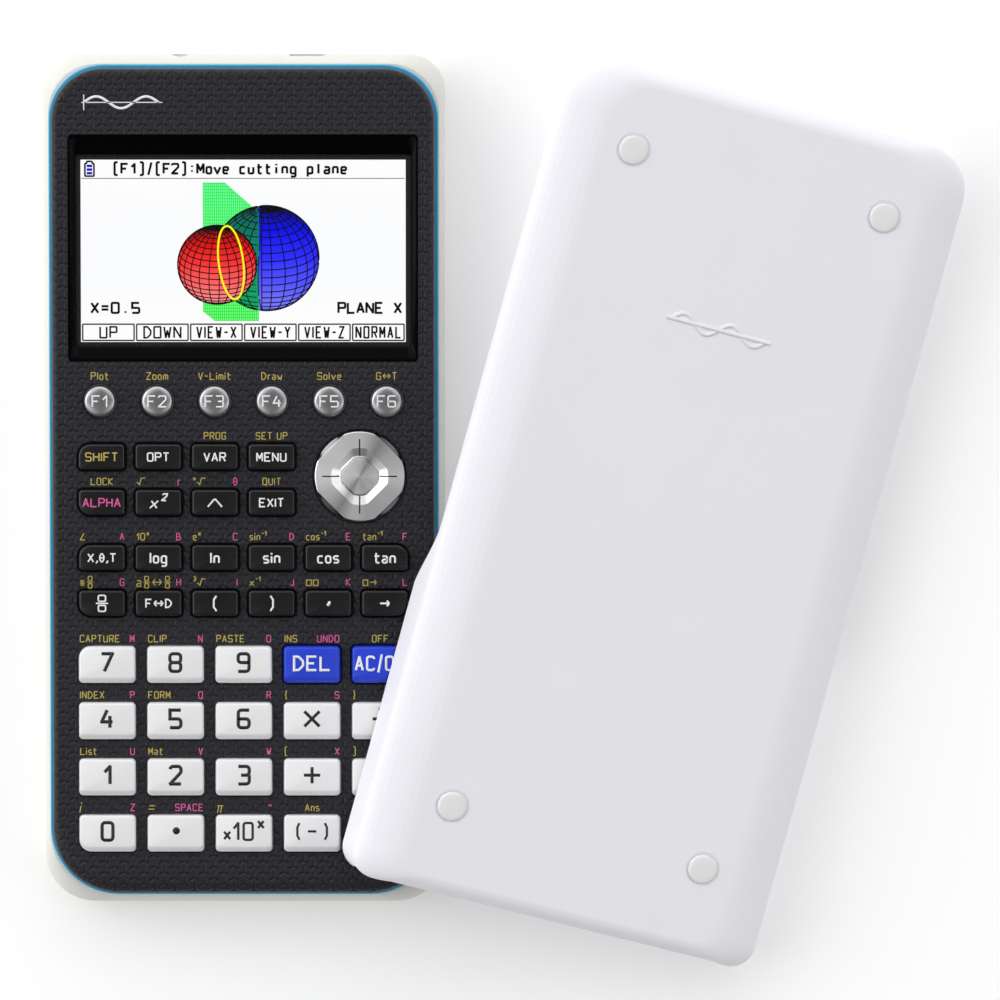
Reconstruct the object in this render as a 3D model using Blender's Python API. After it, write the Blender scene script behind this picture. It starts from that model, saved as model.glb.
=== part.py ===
"""Graphing calculator with its hard slide cover.

The calculator lies face up on its underside, keys up (+Z) and display at the +Y end.
The cover lies beside it, outer face up, one long edge on the keys and one on the table.
Lengths are in metres.  The origin is the centre of the calculator's underside.
"""
import math

import bmesh
import bpy
from mathutils import Matrix

for stale in list(bpy.data.objects):
    bpy.data.objects.remove(stale, do_unlink=True)

# ---------------------------------------------------------------- driving sizes
GAP = 0.0003                    # clearance between neighbouring pieces
CASE_W = 0.0890                 # widest part of the rear case
CASE_L = 0.1885                 # longest part of the rear case
FLOOR_T = 0.0016                # rear case floor
WALL_T = 0.0018                 # side walls of both case halves
SIDE_TAPER = 0.00145            # how far the trim band stands in from the case sides
END_TAPER = 0.0022              # the same at the two ends
TRIM_STEP = 0.00075             # how far the front case stands in from the trim band
TRIM_T = 0.0015                 # height of the trim band
SEAM_DROP = 0.0014              # rear case edge below the circuit board
PANEL_T = 0.0015                # thickness of the front panel
CELL_D = 0.0105                 # AAA cell
CELL_L = 0.0445
CELL_COUNT = 4
LID_T = 0.0013                  # battery lid
BOARD_T = 0.0006
MAT_T = 0.0004                  # rubber key mat
KEY_TRAVEL = 0.0010
FLANGE_T = 0.0005               # collar that keeps a key behind the panel
FLANGE_LIP = 0.0006
KEY_PROUD = 0.0014              # key tops above the panel
COVER_WALL = 0.0017
COVER_TOP = 0.0018
COVER_PLAY = 0.0010             # slide cover to case, each side
COVER_FLARE = 0.0003            # how far its walls lean out at the rim
COVER_SHORT = 0.0005            # how much shorter the slide cover is than the case
FOOT_D = 0.0065                 # rubber feet of the slide cover
FOOT_PROUD = 0.0005
RAIL_H = 0.0016                 # slide groove in the case sides
RAIL_DEPTH = 0.0009
RAIL_Z = 0.0050

# ---------------------------------------------------------------- sizes that follow
FACE_W = CASE_W - 2 * (SIDE_TAPER + TRIM_STEP)
FACE_L = CASE_L - 2 * (END_TAPER + TRIM_STEP)
CELL_Z = LID_T + GAP
BOARD_Z = CELL_Z + CELL_D + GAP
MAT_Z = BOARD_Z + BOARD_T + GAP
FLANGE_Z = MAT_Z + MAT_T + 0.0002 + KEY_TRAVEL
PANEL_Z = FLANGE_Z + FLANGE_T + GAP
TOP_Z = PANEL_Z + PANEL_T
KEY_Z = TOP_Z + KEY_PROUD
SEAM_Z = BOARD_Z - SEAM_DROP    # top edge of the rear case
TRIM_Z = SEAM_Z + GAP
SKIRT_Z = TRIM_Z + TRIM_T + GAP
CORE_W = FACE_W - 2 * WALL_T    # clear width inside the front case
CORE_L = FACE_L - 2 * WALL_T

SMALL_PITCH = FACE_W * 0.1478   # six columns of small keys
SMALL_W, SMALL_H = SMALL_PITCH * 0.820, FACE_L * 0.0315
ROUND_PITCH = FACE_W * 0.1497   # six round keys under the display
ROUND_D = ROUND_PITCH * 0.543
BIG_PITCH = FACE_W * 0.1785     # five columns of large keys
BIG_W, BIG_H = BIG_PITCH * 0.828, FACE_L * 0.0446
ROUND_Y = FACE_L * 0.0980
SMALL_Y = (FACE_L * 0.0307, FACE_L * -0.0246, FACE_L * -0.0915, FACE_L * -0.1468)
BIG_Y = tuple(FACE_L * -(0.2213 + 0.0685 * row) for row in range(4))
ROCKER_R = min(FACE_W * 0.1182, FACE_L * 0.0548)
ROCKER_X, ROCKER_Y = FACE_W * 0.3038, FACE_L * 0.0071
ROCKER_GAP = 0.0004

BEZEL_W, BEZEL_L, BEZEL_Y = FACE_W * 0.9137, FACE_L * 0.2749, FACE_L * 0.2831
WINDOW_W, WINDOW_L, WINDOW_Y = FACE_W * 0.8747, FACE_L * 0.2306, FACE_L * 0.2798
WINDOW_T = 0.0009

BAY_W = CELL_COUNT * (CELL_D + 0.0005) + 0.0025
BAY_L = CELL_L + 0.0035
BAY_Y = -CASE_L * 0.20

COVER_W = CASE_W + 2 * (COVER_PLAY + COVER_WALL)
COVER_L = CASE_L - COVER_SHORT
COVER_DEEP = COVER_TOP + 0.0004 + KEY_Z - RAIL_Z - 0.0002
COVER_SHALLOW = COVER_DEEP * 0.40
COVER_LIP = RAIL_DEPTH + COVER_PLAY - 0.0004
COVER_TURN = math.radians(15.4)
COVER_X, COVER_Y = CASE_W * 1.0503, CASE_L * -0.0372
RIM_HIGH = COVER_W / 2 - COVER_WALL - COVER_LIP
RIM_LOW = COVER_W / 2 + COVER_FLARE
COVER_ROLL = math.asin((KEY_Z + GAP) / (RIM_LOW + RIM_HIGH))
COVER_Z = RIM_LOW * math.sin(COVER_ROLL) + COVER_DEEP * math.cos(COVER_ROLL)
FOOT_X = COVER_W * 0.3110
FOOT_ROWS = {"feet_upper": COVER_L * 0.4033, "feet_lower": COVER_L * -0.3927}
WEB_T = 0.0008


# ---------------------------------------------------------------- materials and collections
def material(name, colour, rough, metal=0.0, alpha=1.0):
    mat = bpy.data.materials.new(name)
    mat.use_nodes = True
    shader = mat.node_tree.nodes["Principled BSDF"]
    shader.inputs["Base Color"].default_value = (*colour, 1.0)
    shader.inputs["Roughness"].default_value = rough
    shader.inputs["Metallic"].default_value = metal
    shader.inputs["Alpha"].default_value = alpha
    return mat


WHITE = material("case_white", (0.90, 0.90, 0.86), 0.35)
BLUE_TRIM = material("trim_blue", (0.02, 0.30, 0.56), 0.30)
BLACK = material("front_black", (0.025, 0.025, 0.030), 0.45)
GLASS = material("window_clear", (0.02, 0.02, 0.02), 0.05, alpha=0.35)
LCD = material("lcd_white", (0.85, 0.85, 0.85), 0.30)
BOARD = material("board_green", (0.02, 0.18, 0.06), 0.50)
MAT_GREY = material("mat_grey", (0.45, 0.45, 0.46), 0.80)
CELL = material("cell_metal", (0.60, 0.60, 0.62), 0.30, 1.0)
KEY_BLACK = material("key_black", (0.012, 0.012, 0.012), 0.30)
KEY_WHITE = material("key_white", (0.85, 0.85, 0.84), 0.30)
KEY_BLUE = material("key_blue", (0.03, 0.07, 0.62), 0.30)
KEY_ROUND = material("key_grey", (0.30, 0.30, 0.31), 0.30, 0.6)
SILVER = material("rocker_silver", (0.62, 0.62, 0.63), 0.28, 1.0)
PIVOT = material("pivot_plastic", (0.10, 0.10, 0.11), 0.50)
COVER = material("cover_white", (0.80, 0.80, 0.84), 0.40)
FOOT = material("foot_rubber", (0.84, 0.84, 0.83), 0.60)

parts = bpy.data.collections.new("graphing_calculator")
tools = bpy.data.collections.new("cutters")
for group in (parts, tools):
    bpy.context.scene.collection.children.link(group)


# ---------------------------------------------------------------- modelling helpers
def ring(w, l, radii, x=0.0, y=0.0, steps=3):
    """Rounded rectangle, counter-clockwise; radii run lower right, upper right, upper left,
    lower left."""
    if isinstance(radii, float):
        radii = (radii,) * 4
    points = []
    for n, (sx, sy) in enumerate(((1, -1), (1, 1), (-1, 1), (-1, -1))):
        r = radii[n]
        for k in range(steps + 1):
            a = math.radians(-90 + 90 * n + 90 * k / steps)
            points.append((x + sx * (w / 2 - r) + r * math.cos(a),
                           y + sy * (l / 2 - r) + r * math.sin(a)))
    return points


def circle(r, x=0.0, y=0.0, steps=16):
    return [(x + r * math.cos(math.tau * k / steps), y + r * math.sin(math.tau * k / steps))
            for k in range(steps)]


def loft(bm, layers):
    """Add one closed body to bm: outlines with equal point counts, each at its own height."""
    rows = [[bm.verts.new((px, py, z)) for px, py in outline] for outline, z in layers]
    caps = [bm.faces.new(list(reversed(rows[0]))), bm.faces.new(rows[-1])]
    for low, high in zip(rows, rows[1:]):
        for k in range(len(low)):
            n = (k + 1) % len(low)
            bm.faces.new((low[k], low[n], high[n], high[k]))
    return caps


def finish(name, bm, mat=None, place=None):
    """Turn bm into a named object; without a material it becomes a cutter."""
    if place is not None:
        bmesh.ops.transform(bm, matrix=place, verts=bm.verts)
    bmesh.ops.recalc_face_normals(bm, faces=bm.faces)
    mesh = bpy.data.meshes.new(name)
    bm.to_mesh(mesh)
    bm.free()
    obj = bpy.data.objects.new(name, mesh)
    if mat is None:
        tools.objects.link(obj)
        obj.hide_render = True
        obj.display_type = "WIRE"
    else:
        parts.objects.link(obj)
        mesh.materials.append(mat)
    return obj


def body(name, layers, mat=None, place=None):
    bm = bmesh.new()
    loft(bm, layers)
    return finish(name, bm, mat, place)


def boolean(target, tool, operation="DIFFERENCE"):
    mod = target.modifiers.new(tool.name, "BOOLEAN")
    mod.operation = operation
    mod.solver = "EXACT"
    mod.object = tool


def slab(w, l, radii, low, high, x=0.0, y=0.0, steps=3):
    return [(ring(w, l, radii, x, y, steps), z) for z in (low, high)]


# ---------------------------------------------------------------- key layout
def key_layout():
    """Every key as (name, x, y, w, h, corner radii, material); round keys have h == 0."""
    soft, wide = SMALL_H * 0.16, SMALL_H * 0.46
    keys = []
    for n in range(6):
        keys.append((f"key_f{n + 1}", (n - 2.5) * ROUND_PITCH, ROUND_Y, ROUND_D, 0.0, 0.0,
                     KEY_ROUND))
    rows = (
        ("shift", "option", "vars", "menu"),
        ("alpha", "square", "power", "exit"),
        ("variable", "log", "ln", "sin", "cos", "tan"),
        ("fraction", "convert", "paren_open", "paren_close", "comma", "store"),
    )
    # corner order: lower right, upper right, upper left, lower left
    rounded = {"shift": 2, "alpha": 3, "variable": 2, "fraction": 3, "tan": 1, "store": 0}
    for row, names in enumerate(rows):
        for col, name in enumerate(names):
            radii = [soft] * 4
            if name in rounded:
                radii[rounded[name]] = wide
            keys.append((f"key_{name}", (col - 2.5) * SMALL_PITCH, SMALL_Y[row], SMALL_W,
                         SMALL_H, tuple(radii), KEY_BLACK))
    rows = (
        ("7", "8", "9", "delete", "clear"),
        ("4", "5", "6", "times", "divide"),
        ("1", "2", "3", "plus", "minus"),
        ("0", "point", "exponent", "negate", "execute"),
    )
    rounded = {"7": 2, "0": 3, "clear": 1, "execute": 0}
    for row, names in enumerate(rows):
        for col, name in enumerate(names):
            radii = [soft] * 4
            if name in rounded:
                radii[rounded[name]] = wide
            mat = KEY_BLUE if name in ("delete", "clear") else KEY_WHITE
            keys.append((f"key_{name}", (col - 2) * BIG_PITCH, BIG_Y[row], BIG_W, BIG_H,
                         tuple(radii), mat))
    return keys


def key_outline(key, grow):
    """Outline of a key, grown by a margin (negative draws it in)."""
    _, x, y, w, h, radii, _ = key
    if not h:
        return circle(w / 2 + grow, x, y)
    radii = tuple(max(r + grow, 0.0002) for r in radii)
    return ring(w + 2 * grow, h + 2 * grow, radii, x, y, steps=2)


keys = key_layout()

# ---------------------------------------------------------------- rear case
UPPER_R, LOWER_R = 0.0080, 0.0110       # outer corners at the display end and the key end


def case_ring(side, end, extra=0.0, steps=5):
    up, low = UPPER_R + extra, LOWER_R + extra
    return ring(CASE_W - 2 * side, CASE_L - 2 * end, (low, up, up, low), steps=steps)


rear_case = body("rear_case", [
    (case_ring(0.0024, 0.0024), 0.0),
    (case_ring(0.0011, 0.0011), 0.0007),
    (case_ring(0.0002, 0.0002), 0.0024),
    (case_ring(0.0, 0.0), 0.0042),
    (case_ring(0.0, 0.0), RAIL_Z + RAIL_H + 0.0004),
    (case_ring(SIDE_TAPER - 0.0002, END_TAPER - 0.0002, 0.0028), SEAM_Z),
], WHITE)
inner_side = SIDE_TAPER + WALL_T + 0.0002
inner_end = END_TAPER + WALL_T + 0.0002
boolean(rear_case, body("cut_cavity", [
    (case_ring(inner_side, inner_end), FLOOR_T),
    (case_ring(inner_side, inner_end), SEAM_Z + 0.002),
]))
boolean(rear_case, body("cut_bay", slab(
    BAY_W + 2 * GAP, BAY_L + 2 * GAP, 0.0020, -0.001, FLOOR_T + 0.001, y=BAY_Y)))
# slide grooves along both long sides, open at the display end
grooves = bmesh.new()
for side in (-1, 1):
    loft(grooves, slab(2 * RAIL_DEPTH, CASE_L * 0.97, 0.0002, RAIL_Z, RAIL_Z + RAIL_H,
                       x=side * CASE_W / 2, y=CASE_L * 0.03, steps=1))
boolean(rear_case, finish("cut_grooves", grooves))

# ---------------------------------------------------------------- trim band
TRIM_UP, TRIM_LOW = 0.0122, 0.0152


def band_ring(inset, steps=6):
    up, low = TRIM_UP - inset, TRIM_LOW - inset
    return ring(CASE_W - 2 * (SIDE_TAPER + inset), CASE_L - 2 * (END_TAPER + inset),
                (low, up, up, low), steps=steps)


trim_band = body("trim_band", [(band_ring(0.0), TRIM_Z), (band_ring(0.0), TRIM_Z + TRIM_T)],
                 BLUE_TRIM)
boolean(trim_band, body("cut_band", [
    (band_ring(TRIM_STEP + WALL_T), TRIM_Z - 0.001),
    (band_ring(TRIM_STEP + WALL_T), TRIM_Z + TRIM_T + 0.001),
]))


# ---------------------------------------------------------------- front case
def face_ring(inset, roll=0.0, steps=6):
    """Front case outline; roll draws in only the end below the keys."""
    up, low = TRIM_UP - TRIM_STEP - inset, TRIM_LOW - TRIM_STEP - inset
    return ring(FACE_W - 2 * inset, FACE_L - 2 * inset - roll, (low, up, up, low),
                y=roll / 2, steps=steps)


front_case = body("front_case", [
    (face_ring(0.0), SKIRT_Z),
    (face_ring(0.0), TOP_Z - 0.0016),
    (face_ring(0.0002, 0.0008), TOP_Z - 0.0006),
    (face_ring(0.0008, 0.0020), TOP_Z),
], BLACK)
boolean(front_case, body("cut_front_cavity", [
    (face_ring(WALL_T), SKIRT_Z - 0.001),
    (face_ring(WALL_T), PANEL_Z),
]))
boolean(front_case, body("cut_bezel", [
    (ring(WINDOW_W + 2 * GAP, WINDOW_L + 2 * GAP, 0.0006, y=WINDOW_Y), PANEL_Z - 0.001),
    (ring(WINDOW_W + 2 * GAP, WINDOW_L + 2 * GAP, 0.0006, y=WINDOW_Y),
     PANEL_Z + WINDOW_T - GAP),
    (ring(BEZEL_W, BEZEL_L, 0.0010, y=BEZEL_Y), TOP_Z),
    (ring(BEZEL_W, BEZEL_L, 0.0010, y=BEZEL_Y), TOP_Z + 0.001),
]))
holes = bmesh.new()
for key in keys:
    loft(holes, [(key_outline(key, GAP), z) for z in (PANEL_Z - 0.001, TOP_Z + 0.001)])
loft(holes, [(circle(ROCKER_R + ROCKER_GAP, ROCKER_X, ROCKER_Y, 32), z)
             for z in (PANEL_Z - 0.001, TOP_Z + 0.001)])
boolean(front_case, finish("cut_key_holes", holes))

# ---------------------------------------------------------------- display
window = body("display_window", slab(
    WINDOW_W, WINDOW_L, 0.0006, PANEL_Z - GAP, PANEL_Z - GAP + WINDOW_T, y=WINDOW_Y), GLASS)
lcd_module = body("lcd_module", slab(
    WINDOW_W, WINDOW_L + 0.003, 0.0008, MAT_Z, PANEL_Z - 2 * GAP, y=WINDOW_Y), LCD)

# ---------------------------------------------------------------- keys
for key in keys:
    body(key[0], [
        (key_outline(key, FLANGE_LIP), FLANGE_Z),
        (key_outline(key, FLANGE_LIP), FLANGE_Z + FLANGE_T),
        (key_outline(key, 0.0), FLANGE_Z + FLANGE_T),
        (key_outline(key, 0.0), KEY_Z - 0.0005),
        (key_outline(key, -0.0005), KEY_Z),
    ], key[6])

# ---------------------------------------------------------------- rocker
TILT_Z = FLANGE_Z + 0.00005             # height of both tilt axes
disc_low = FLANGE_Z + 0.0002
body("rocker_disc", [
    (circle(ROCKER_R, ROCKER_X, ROCKER_Y, 32), disc_low),
    (circle(ROCKER_R, ROCKER_X, ROCKER_Y, 32), KEY_Z - 0.0007),
    (circle(ROCKER_R - 0.0006, ROCKER_X, ROCKER_Y, 32), KEY_Z - 0.0003),
], SILVER)
PIVOT_R = ROCKER_R * 0.25
body("rocker_pivot", [
    (circle(PIVOT_R, ROCKER_X, ROCKER_Y, 16), MAT_Z),
    (circle(PIVOT_R, ROCKER_X, ROCKER_Y, 16), disc_low - GAP),
], PIVOT)

# ---------------------------------------------------------------- board and key mat
circuit_board = body("circuit_board", [
    (face_ring(WALL_T + GAP), z) for z in (BOARD_Z, BOARD_Z + BOARD_T)], BOARD)
mat_top, mat_low = ROUND_Y + ROUND_D * 0.9, -CORE_L / 2 + 0.001
key_mat = body("key_mat", slab(
    CORE_W - 0.002, mat_top - mat_low, (TRIM_LOW, 0.001, 0.001, TRIM_LOW), MAT_Z,
    MAT_Z + MAT_T, y=(mat_top + mat_low) / 2, steps=5), MAT_GREY)
boolean(key_mat, body("cut_mat_hole", [
    (circle(PIVOT_R + 0.0008, ROCKER_X, ROCKER_Y, 16), z)
    for z in (MAT_Z - 0.001, MAT_Z + MAT_T + 0.001)]))

# ---------------------------------------------------------------- battery bay
battery_lid = body("battery_lid", slab(BAY_W, BAY_L, 0.0017, 0.0, LID_T, y=BAY_Y), WHITE)


def cell_profile(steps=10):
    """Four cells side by side joined by their contact strip, seen along the cells."""
    r, pitch, strip = CELL_D / 2, CELL_D + 0.0005, 0.0008
    open_angle = math.asin(strip / r)
    points = []
    for n in range(CELL_COUNT):
        first, last = n == 0, n == CELL_COUNT - 1
        centre = (n - (CELL_COUNT - 1) / 2) * pitch
        start = math.pi + (0.0 if first else open_angle)
        stop = math.tau - (0.0 if last else open_angle)
        for k in range(steps + 1):
            a = start + (stop - start) * k / steps
            points.append((centre + r * math.cos(a), r * math.sin(a)))
    mirrored = [(x, -z) for x, z in reversed(points)]
    return points + mirrored[1:-1]


along_y = (Matrix.Translation((0.0, BAY_Y + CELL_L / 2, CELL_Z + CELL_D / 2))
           @ Matrix.Rotation(math.radians(90), 4, "X"))
outline = cell_profile()
body("battery_cells", [(outline, 0.0), (outline, CELL_L)], CELL, along_y)

# ---------------------------------------------------------------- slide cover
lay_down = (Matrix.Translation((COVER_X, COVER_Y, COVER_Z))
            @ Matrix.Rotation(-COVER_TURN, 4, "Z") @ Matrix.Rotation(COVER_ROLL, 4, "Y"))


def cover_ring(side, end, corner, drop):
    """One level of the cover's shell: drawn in at the sides and ends, drop below the face."""
    low, up = corner * 0.55, corner * 1.05
    return ring(COVER_W - 2 * side, COVER_L - 2 * end, (low, up, up, low), steps=5), -drop


slide_cover = body("slide_cover", [
    cover_ring(-COVER_FLARE, 0.0, 0.0100, COVER_DEEP),
    cover_ring(0.0, 0.0, 0.0100, 0.0048),
    cover_ring(0.0008, 0.0002, 0.0098, 0.0032),
    cover_ring(0.0034, 0.0008, 0.0094, 0.0018),
    cover_ring(0.0096, 0.0028, 0.0085, 0.0),
], COVER, lay_down)
wall, lip = COVER_WALL, COVER_LIP
boolean(slide_cover, body("cut_cover_cavity", [
    cover_ring(wall + lip, wall, 0.0070, COVER_DEEP + 0.001),
    cover_ring(wall + lip, wall, 0.0070, COVER_DEEP - 0.0011),
    cover_ring(wall, wall, 0.0083, COVER_DEEP - 0.0015),
    cover_ring(wall, wall, 0.0083, 0.0052),
    cover_ring(wall + 0.0036, wall + 0.0021, 0.0075, COVER_TOP + 0.0018),
    cover_ring(wall + 0.0090, wall + 0.0042, 0.0070, COVER_TOP),
], None, lay_down))


def across(profile, half_width):
    """Layers of a body whose outline (y, z) is drawn across the cover's width."""
    return [(profile, -half_width), (profile, half_width)]


# the side walls are deep at the key end and rise in a smooth step to the shallow part
step_low, step_high = -COVER_L * 0.175, -COVER_L * 0.073
profile = [(-COVER_L, -COVER_DEEP - 0.004), (COVER_L, -COVER_DEEP - 0.004),
           (COVER_L, -COVER_SHALLOW)]
for k in range(9):
    t = k / 8
    rise = (1 + math.cos(math.pi * t)) / 2
    profile.append((step_high + (step_low - step_high) * t,
                    -COVER_DEEP - 0.001 + (COVER_DEEP + 0.001 - COVER_SHALLOW) * rise))
profile.append((-COVER_L, -COVER_DEEP - 0.001))
turn_across = Matrix(((0, 0, 1, 0), (1, 0, 0, 0), (0, 1, 0, 0), (0, 0, 0, 1)))
boolean(slide_cover, body("cut_cover_step", across(profile, COVER_W), None,
                          lay_down @ turn_across))
# open mouth at the key end, as wide as the hollow: only the shell stays above the key tops
inside = COVER_W / 2 - wall
boolean(slide_cover, body("cut_cover_mouth", [
    (ring(2 * half - 0.0002, 0.014, 0.0015, y=-COVER_L / 2), -drop) for half, drop in (
        (RIM_HIGH, COVER_DEEP + 0.002), (RIM_HIGH, COVER_DEEP - 0.0011),
        (inside, COVER_DEEP - 0.0015), (inside, 0.0052), (inside - 0.0036, COVER_TOP + 0.0018),
        (inside - 0.0078, COVER_TOP + 0.0004))], None, lay_down))
sockets = bmesh.new()
for sx in (-1, 1):
    for foot_y in FOOT_ROWS.values():
        loft(sockets, [(circle(FOOT_D / 2 + GAP, sx * FOOT_X, foot_y), z)
                       for z in (-COVER_TOP - 0.001, 0.001)])
boolean(slide_cover, finish("cut_foot_sockets", sockets, None, lay_down))

# ---------------------------------------------------------------- feet of the cover
for name, foot_y in FOOT_ROWS.items():
    strip = body(name, slab(
        2 * FOOT_X + FOOT_D + 0.002, FOOT_D + 0.002, 0.0020,
        -COVER_TOP - GAP - WEB_T, -COVER_TOP - GAP, y=foot_y), FOOT, lay_down)
    pads = bmesh.new()
    for sx in (-1, 1):
        loft(pads, [(circle(r, sx * FOOT_X, foot_y), z) for r, z in (
            (FOOT_D / 2, -COVER_TOP - GAP - WEB_T / 2),
            (FOOT_D / 2, FOOT_PROUD - 0.0002),
            (FOOT_D / 2 - 0.0003, FOOT_PROUD))])
    boolean(strip, finish(f"add_{name}", pads, None, lay_down), "UNION")
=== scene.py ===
"""Graphing calculator with its hard slide cover, finished for show.

Each section below is one piece or one group of like pieces, in the order in which the
calculator is put together: back, trim, front, display, keys, cursor disc, prints, cover.
Sizes are real ones, written as a number times mm.
"""

import math

import bmesh
import bpy
from mathutils import Matrix, Vector


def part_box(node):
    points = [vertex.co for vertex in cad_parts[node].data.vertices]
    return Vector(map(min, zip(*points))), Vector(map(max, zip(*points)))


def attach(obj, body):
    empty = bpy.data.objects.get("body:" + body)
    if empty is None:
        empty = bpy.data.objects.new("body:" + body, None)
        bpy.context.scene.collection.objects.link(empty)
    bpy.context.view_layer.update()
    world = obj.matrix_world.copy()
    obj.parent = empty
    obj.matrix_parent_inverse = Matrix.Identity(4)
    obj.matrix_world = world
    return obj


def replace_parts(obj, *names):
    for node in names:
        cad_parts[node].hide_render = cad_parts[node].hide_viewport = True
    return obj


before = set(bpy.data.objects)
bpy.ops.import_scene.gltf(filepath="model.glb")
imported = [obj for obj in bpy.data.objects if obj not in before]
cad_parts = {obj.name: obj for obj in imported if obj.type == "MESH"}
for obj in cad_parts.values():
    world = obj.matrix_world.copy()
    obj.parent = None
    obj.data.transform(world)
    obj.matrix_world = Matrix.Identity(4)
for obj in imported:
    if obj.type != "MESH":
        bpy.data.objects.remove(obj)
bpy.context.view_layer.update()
mm = 0.001
ROOT = "calculator"

# ------------------------------------------------------------------ rear case
# The back half of the housing, a shallow tub moulded in off-white ABS.  Its sides lean in
# towards the seam, carry a groove for the slide cover, and the ports sit in the upper end.
CASE_W, CASE_L = 89.0 * mm, 188.5 * mm
CASE_UPPER_R, CASE_LOWER_R = 8.0 * mm, 11.0 * mm
SIDE_TAPER, END_TAPER = 1.45 * mm, 2.2 * mm
FLOOR, WALL, GAP = 1.6 * mm, 1.8 * mm, 0.3 * mm
RAIL_Z, RAIL_H, RAIL_DEPTH = 5.0 * mm, 1.6 * mm, 0.9 * mm
SEAM_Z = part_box("rear_case")[1].z
CREASE = 38                                 # degrees; a sharper edge is shaded as an edge
WIDE_FACE = 60 * mm * mm                    # a face larger than this is shaded flat


def ring(w, l, radii, x=0.0, y=0.0, steps=10):
    """Rounded rectangle; radii run lower right, upper right, upper left, lower left."""
    radii = (radii,) * 4 if isinstance(radii, float) else radii
    points = []
    for n, (sx, sy) in enumerate(((1, -1), (1, 1), (-1, 1), (-1, -1))):
        for k in range(steps + 1):
            a = math.radians(90 * n - 90 + 90 * k / steps)
            points.append((x + sx * (w / 2 - radii[n]) + radii[n] * math.cos(a),
                           y + sy * (l / 2 - radii[n]) + radii[n] * math.sin(a)))
    return points


def circle(r, x=0.0, y=0.0, steps=64):
    return [(x + r * math.cos(math.tau * k / steps), y + r * math.sin(math.tau * k / steps))
            for k in range(steps)]


def loft(bm, layers):
    """Adds a closed body through outlines of equal length; its two end faces stay flat."""
    rows = [[bm.verts.new((px, py, z)) for px, py in outline] for outline, z in layers]
    bm.faces.new(list(reversed(rows[0])))
    bm.faces.new(rows[-1])
    for low, high in zip(rows, rows[1:]):
        for k in range(len(low)):
            n = (k + 1) % len(low)
            bm.faces.new((low[k], low[n], high[n], high[k])).smooth = True


def slab(outline, low, high):
    """The two levels of a straight body."""
    return [(outline, low), (outline, high)]


def stand(name, data):
    """Puts a mesh, lamp or camera into the scene."""
    obj = bpy.data.objects.new(name, data)
    bpy.context.scene.collection.objects.link(obj)
    return obj


def solid(name, bodies, material=None, place=None, crease=CREASE):
    """One object from lists of layers, put in place in its mesh."""
    bm = bmesh.new()
    for layers in bodies:
        loft(bm, layers)
    if place is not None:
        bmesh.ops.transform(bm, matrix=place, verts=bm.verts)
    bmesh.ops.recalc_face_normals(bm, faces=bm.faces)
    mesh = bpy.data.meshes.new(name)
    bm.to_mesh(mesh)
    bm.free()
    mesh.set_sharp_from_angle(angle=math.radians(crease))
    if material:
        mesh.materials.append(material)
    return stand(name, mesh)


def settle(obj):
    """Turns what the modifiers make into the object's own plain mesh."""
    ready = obj.evaluated_get(bpy.context.evaluated_depsgraph_get())
    mesh = bpy.data.meshes.new_from_object(ready)
    obj.modifiers.clear()
    obj.data = mesh
    return obj


def carve(obj, cutters, crease=CREASE):
    """Cuts each cutter out of obj and takes the cutters away."""
    for cutter in cutters:
        cut = obj.modifiers.new(cutter.name, "BOOLEAN")
        cut.operation, cut.solver, cut.object = "DIFFERENCE", "EXACT", cutter
    settle(obj)
    for cutter in cutters:
        bpy.data.objects.remove(cutter)
    obj.data.set_sharp_from_angle(angle=math.radians(crease))
    for face in obj.data.polygons:
        if face.area > WIDE_FACE:
            face.use_smooth = False
    return obj


def hex_colour(code):
    """sRGB hex to the linear colour that shaders take."""
    parts = [int(code[k:k + 2], 16) / 255 for k in (1, 3, 5)]
    return tuple(c / 12.92 if c <= 0.04045 else ((c + 0.055) / 1.055) ** 2.4
                 for c in parts) + (1.0,)


def plug(tree, node, inputs):
    """Sets a node's sockets, by name or number, to values, or links them to nodes or outputs."""
    for name, value in inputs.items():
        if isinstance(value, bpy.types.Node):
            value = next(out for out in value.outputs if out.enabled)
        if isinstance(value, bpy.types.NodeSocket):
            tree.links.new(value, node.inputs[name])
        else:
            node.inputs[name].default_value = value


def add(tree, kind, inputs=None, **settings):
    """Adds a node with its settings and what its sockets take."""
    made = tree.nodes.new(kind)
    for name, value in settings.items():
        setattr(made, name, value)
    plug(tree, made, inputs or {})
    return made


def blank(name):
    """A new material, with its node tree and its shader."""
    material = bpy.data.materials.new(name)
    material.use_nodes = True
    return material, material.node_tree, material.node_tree.nodes["Principled BSDF"]


def moulded(name, colour, dark, roughness, grain, depth, mottle=12 * mm, ior=1.5):
    """Injection-moulded plastic: an eroded tool leaves a fine grain of that size and depth,
    and the colour drifts a little between the two hex values over the mottle size."""
    material, tree, shader = blank(name)
    place = add(tree, "ShaderNodeTexCoord").outputs["Object"]
    drift = add(tree, "ShaderNodeTexNoise", {"Vector": place, "Scale": 1 / mottle, "Detail": 2.0})
    tint = add(tree, "ShaderNodeMix", {"Factor": drift, 6: hex_colour(dark),
                                       7: hex_colour(colour)}, data_type="RGBA")
    fine = add(tree, "ShaderNodeTexNoise", {"Vector": place, "Scale": 1 / grain, "Detail": 3.0})
    gloss = add(tree, "ShaderNodeMapRange", {0: fine, 3: roughness - 0.05, 4: roughness + 0.05})
    relief = add(tree, "ShaderNodeBump", {"Height": fine, "Distance": depth, "Strength": 1.0})
    plug(tree, shader, {"IOR": ior, "Base Color": tint.outputs[2], "Roughness": gloss,
                        "Normal": relief})
    return material


# ABS from an etched tool: soft highlights, the grain only just shows at the edges
CASE_WHITE = moulded("off_white_abs", "#e5e5de", "#e1e1d9", 0.36, 0.25 * mm, 0.003 * mm)
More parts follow.
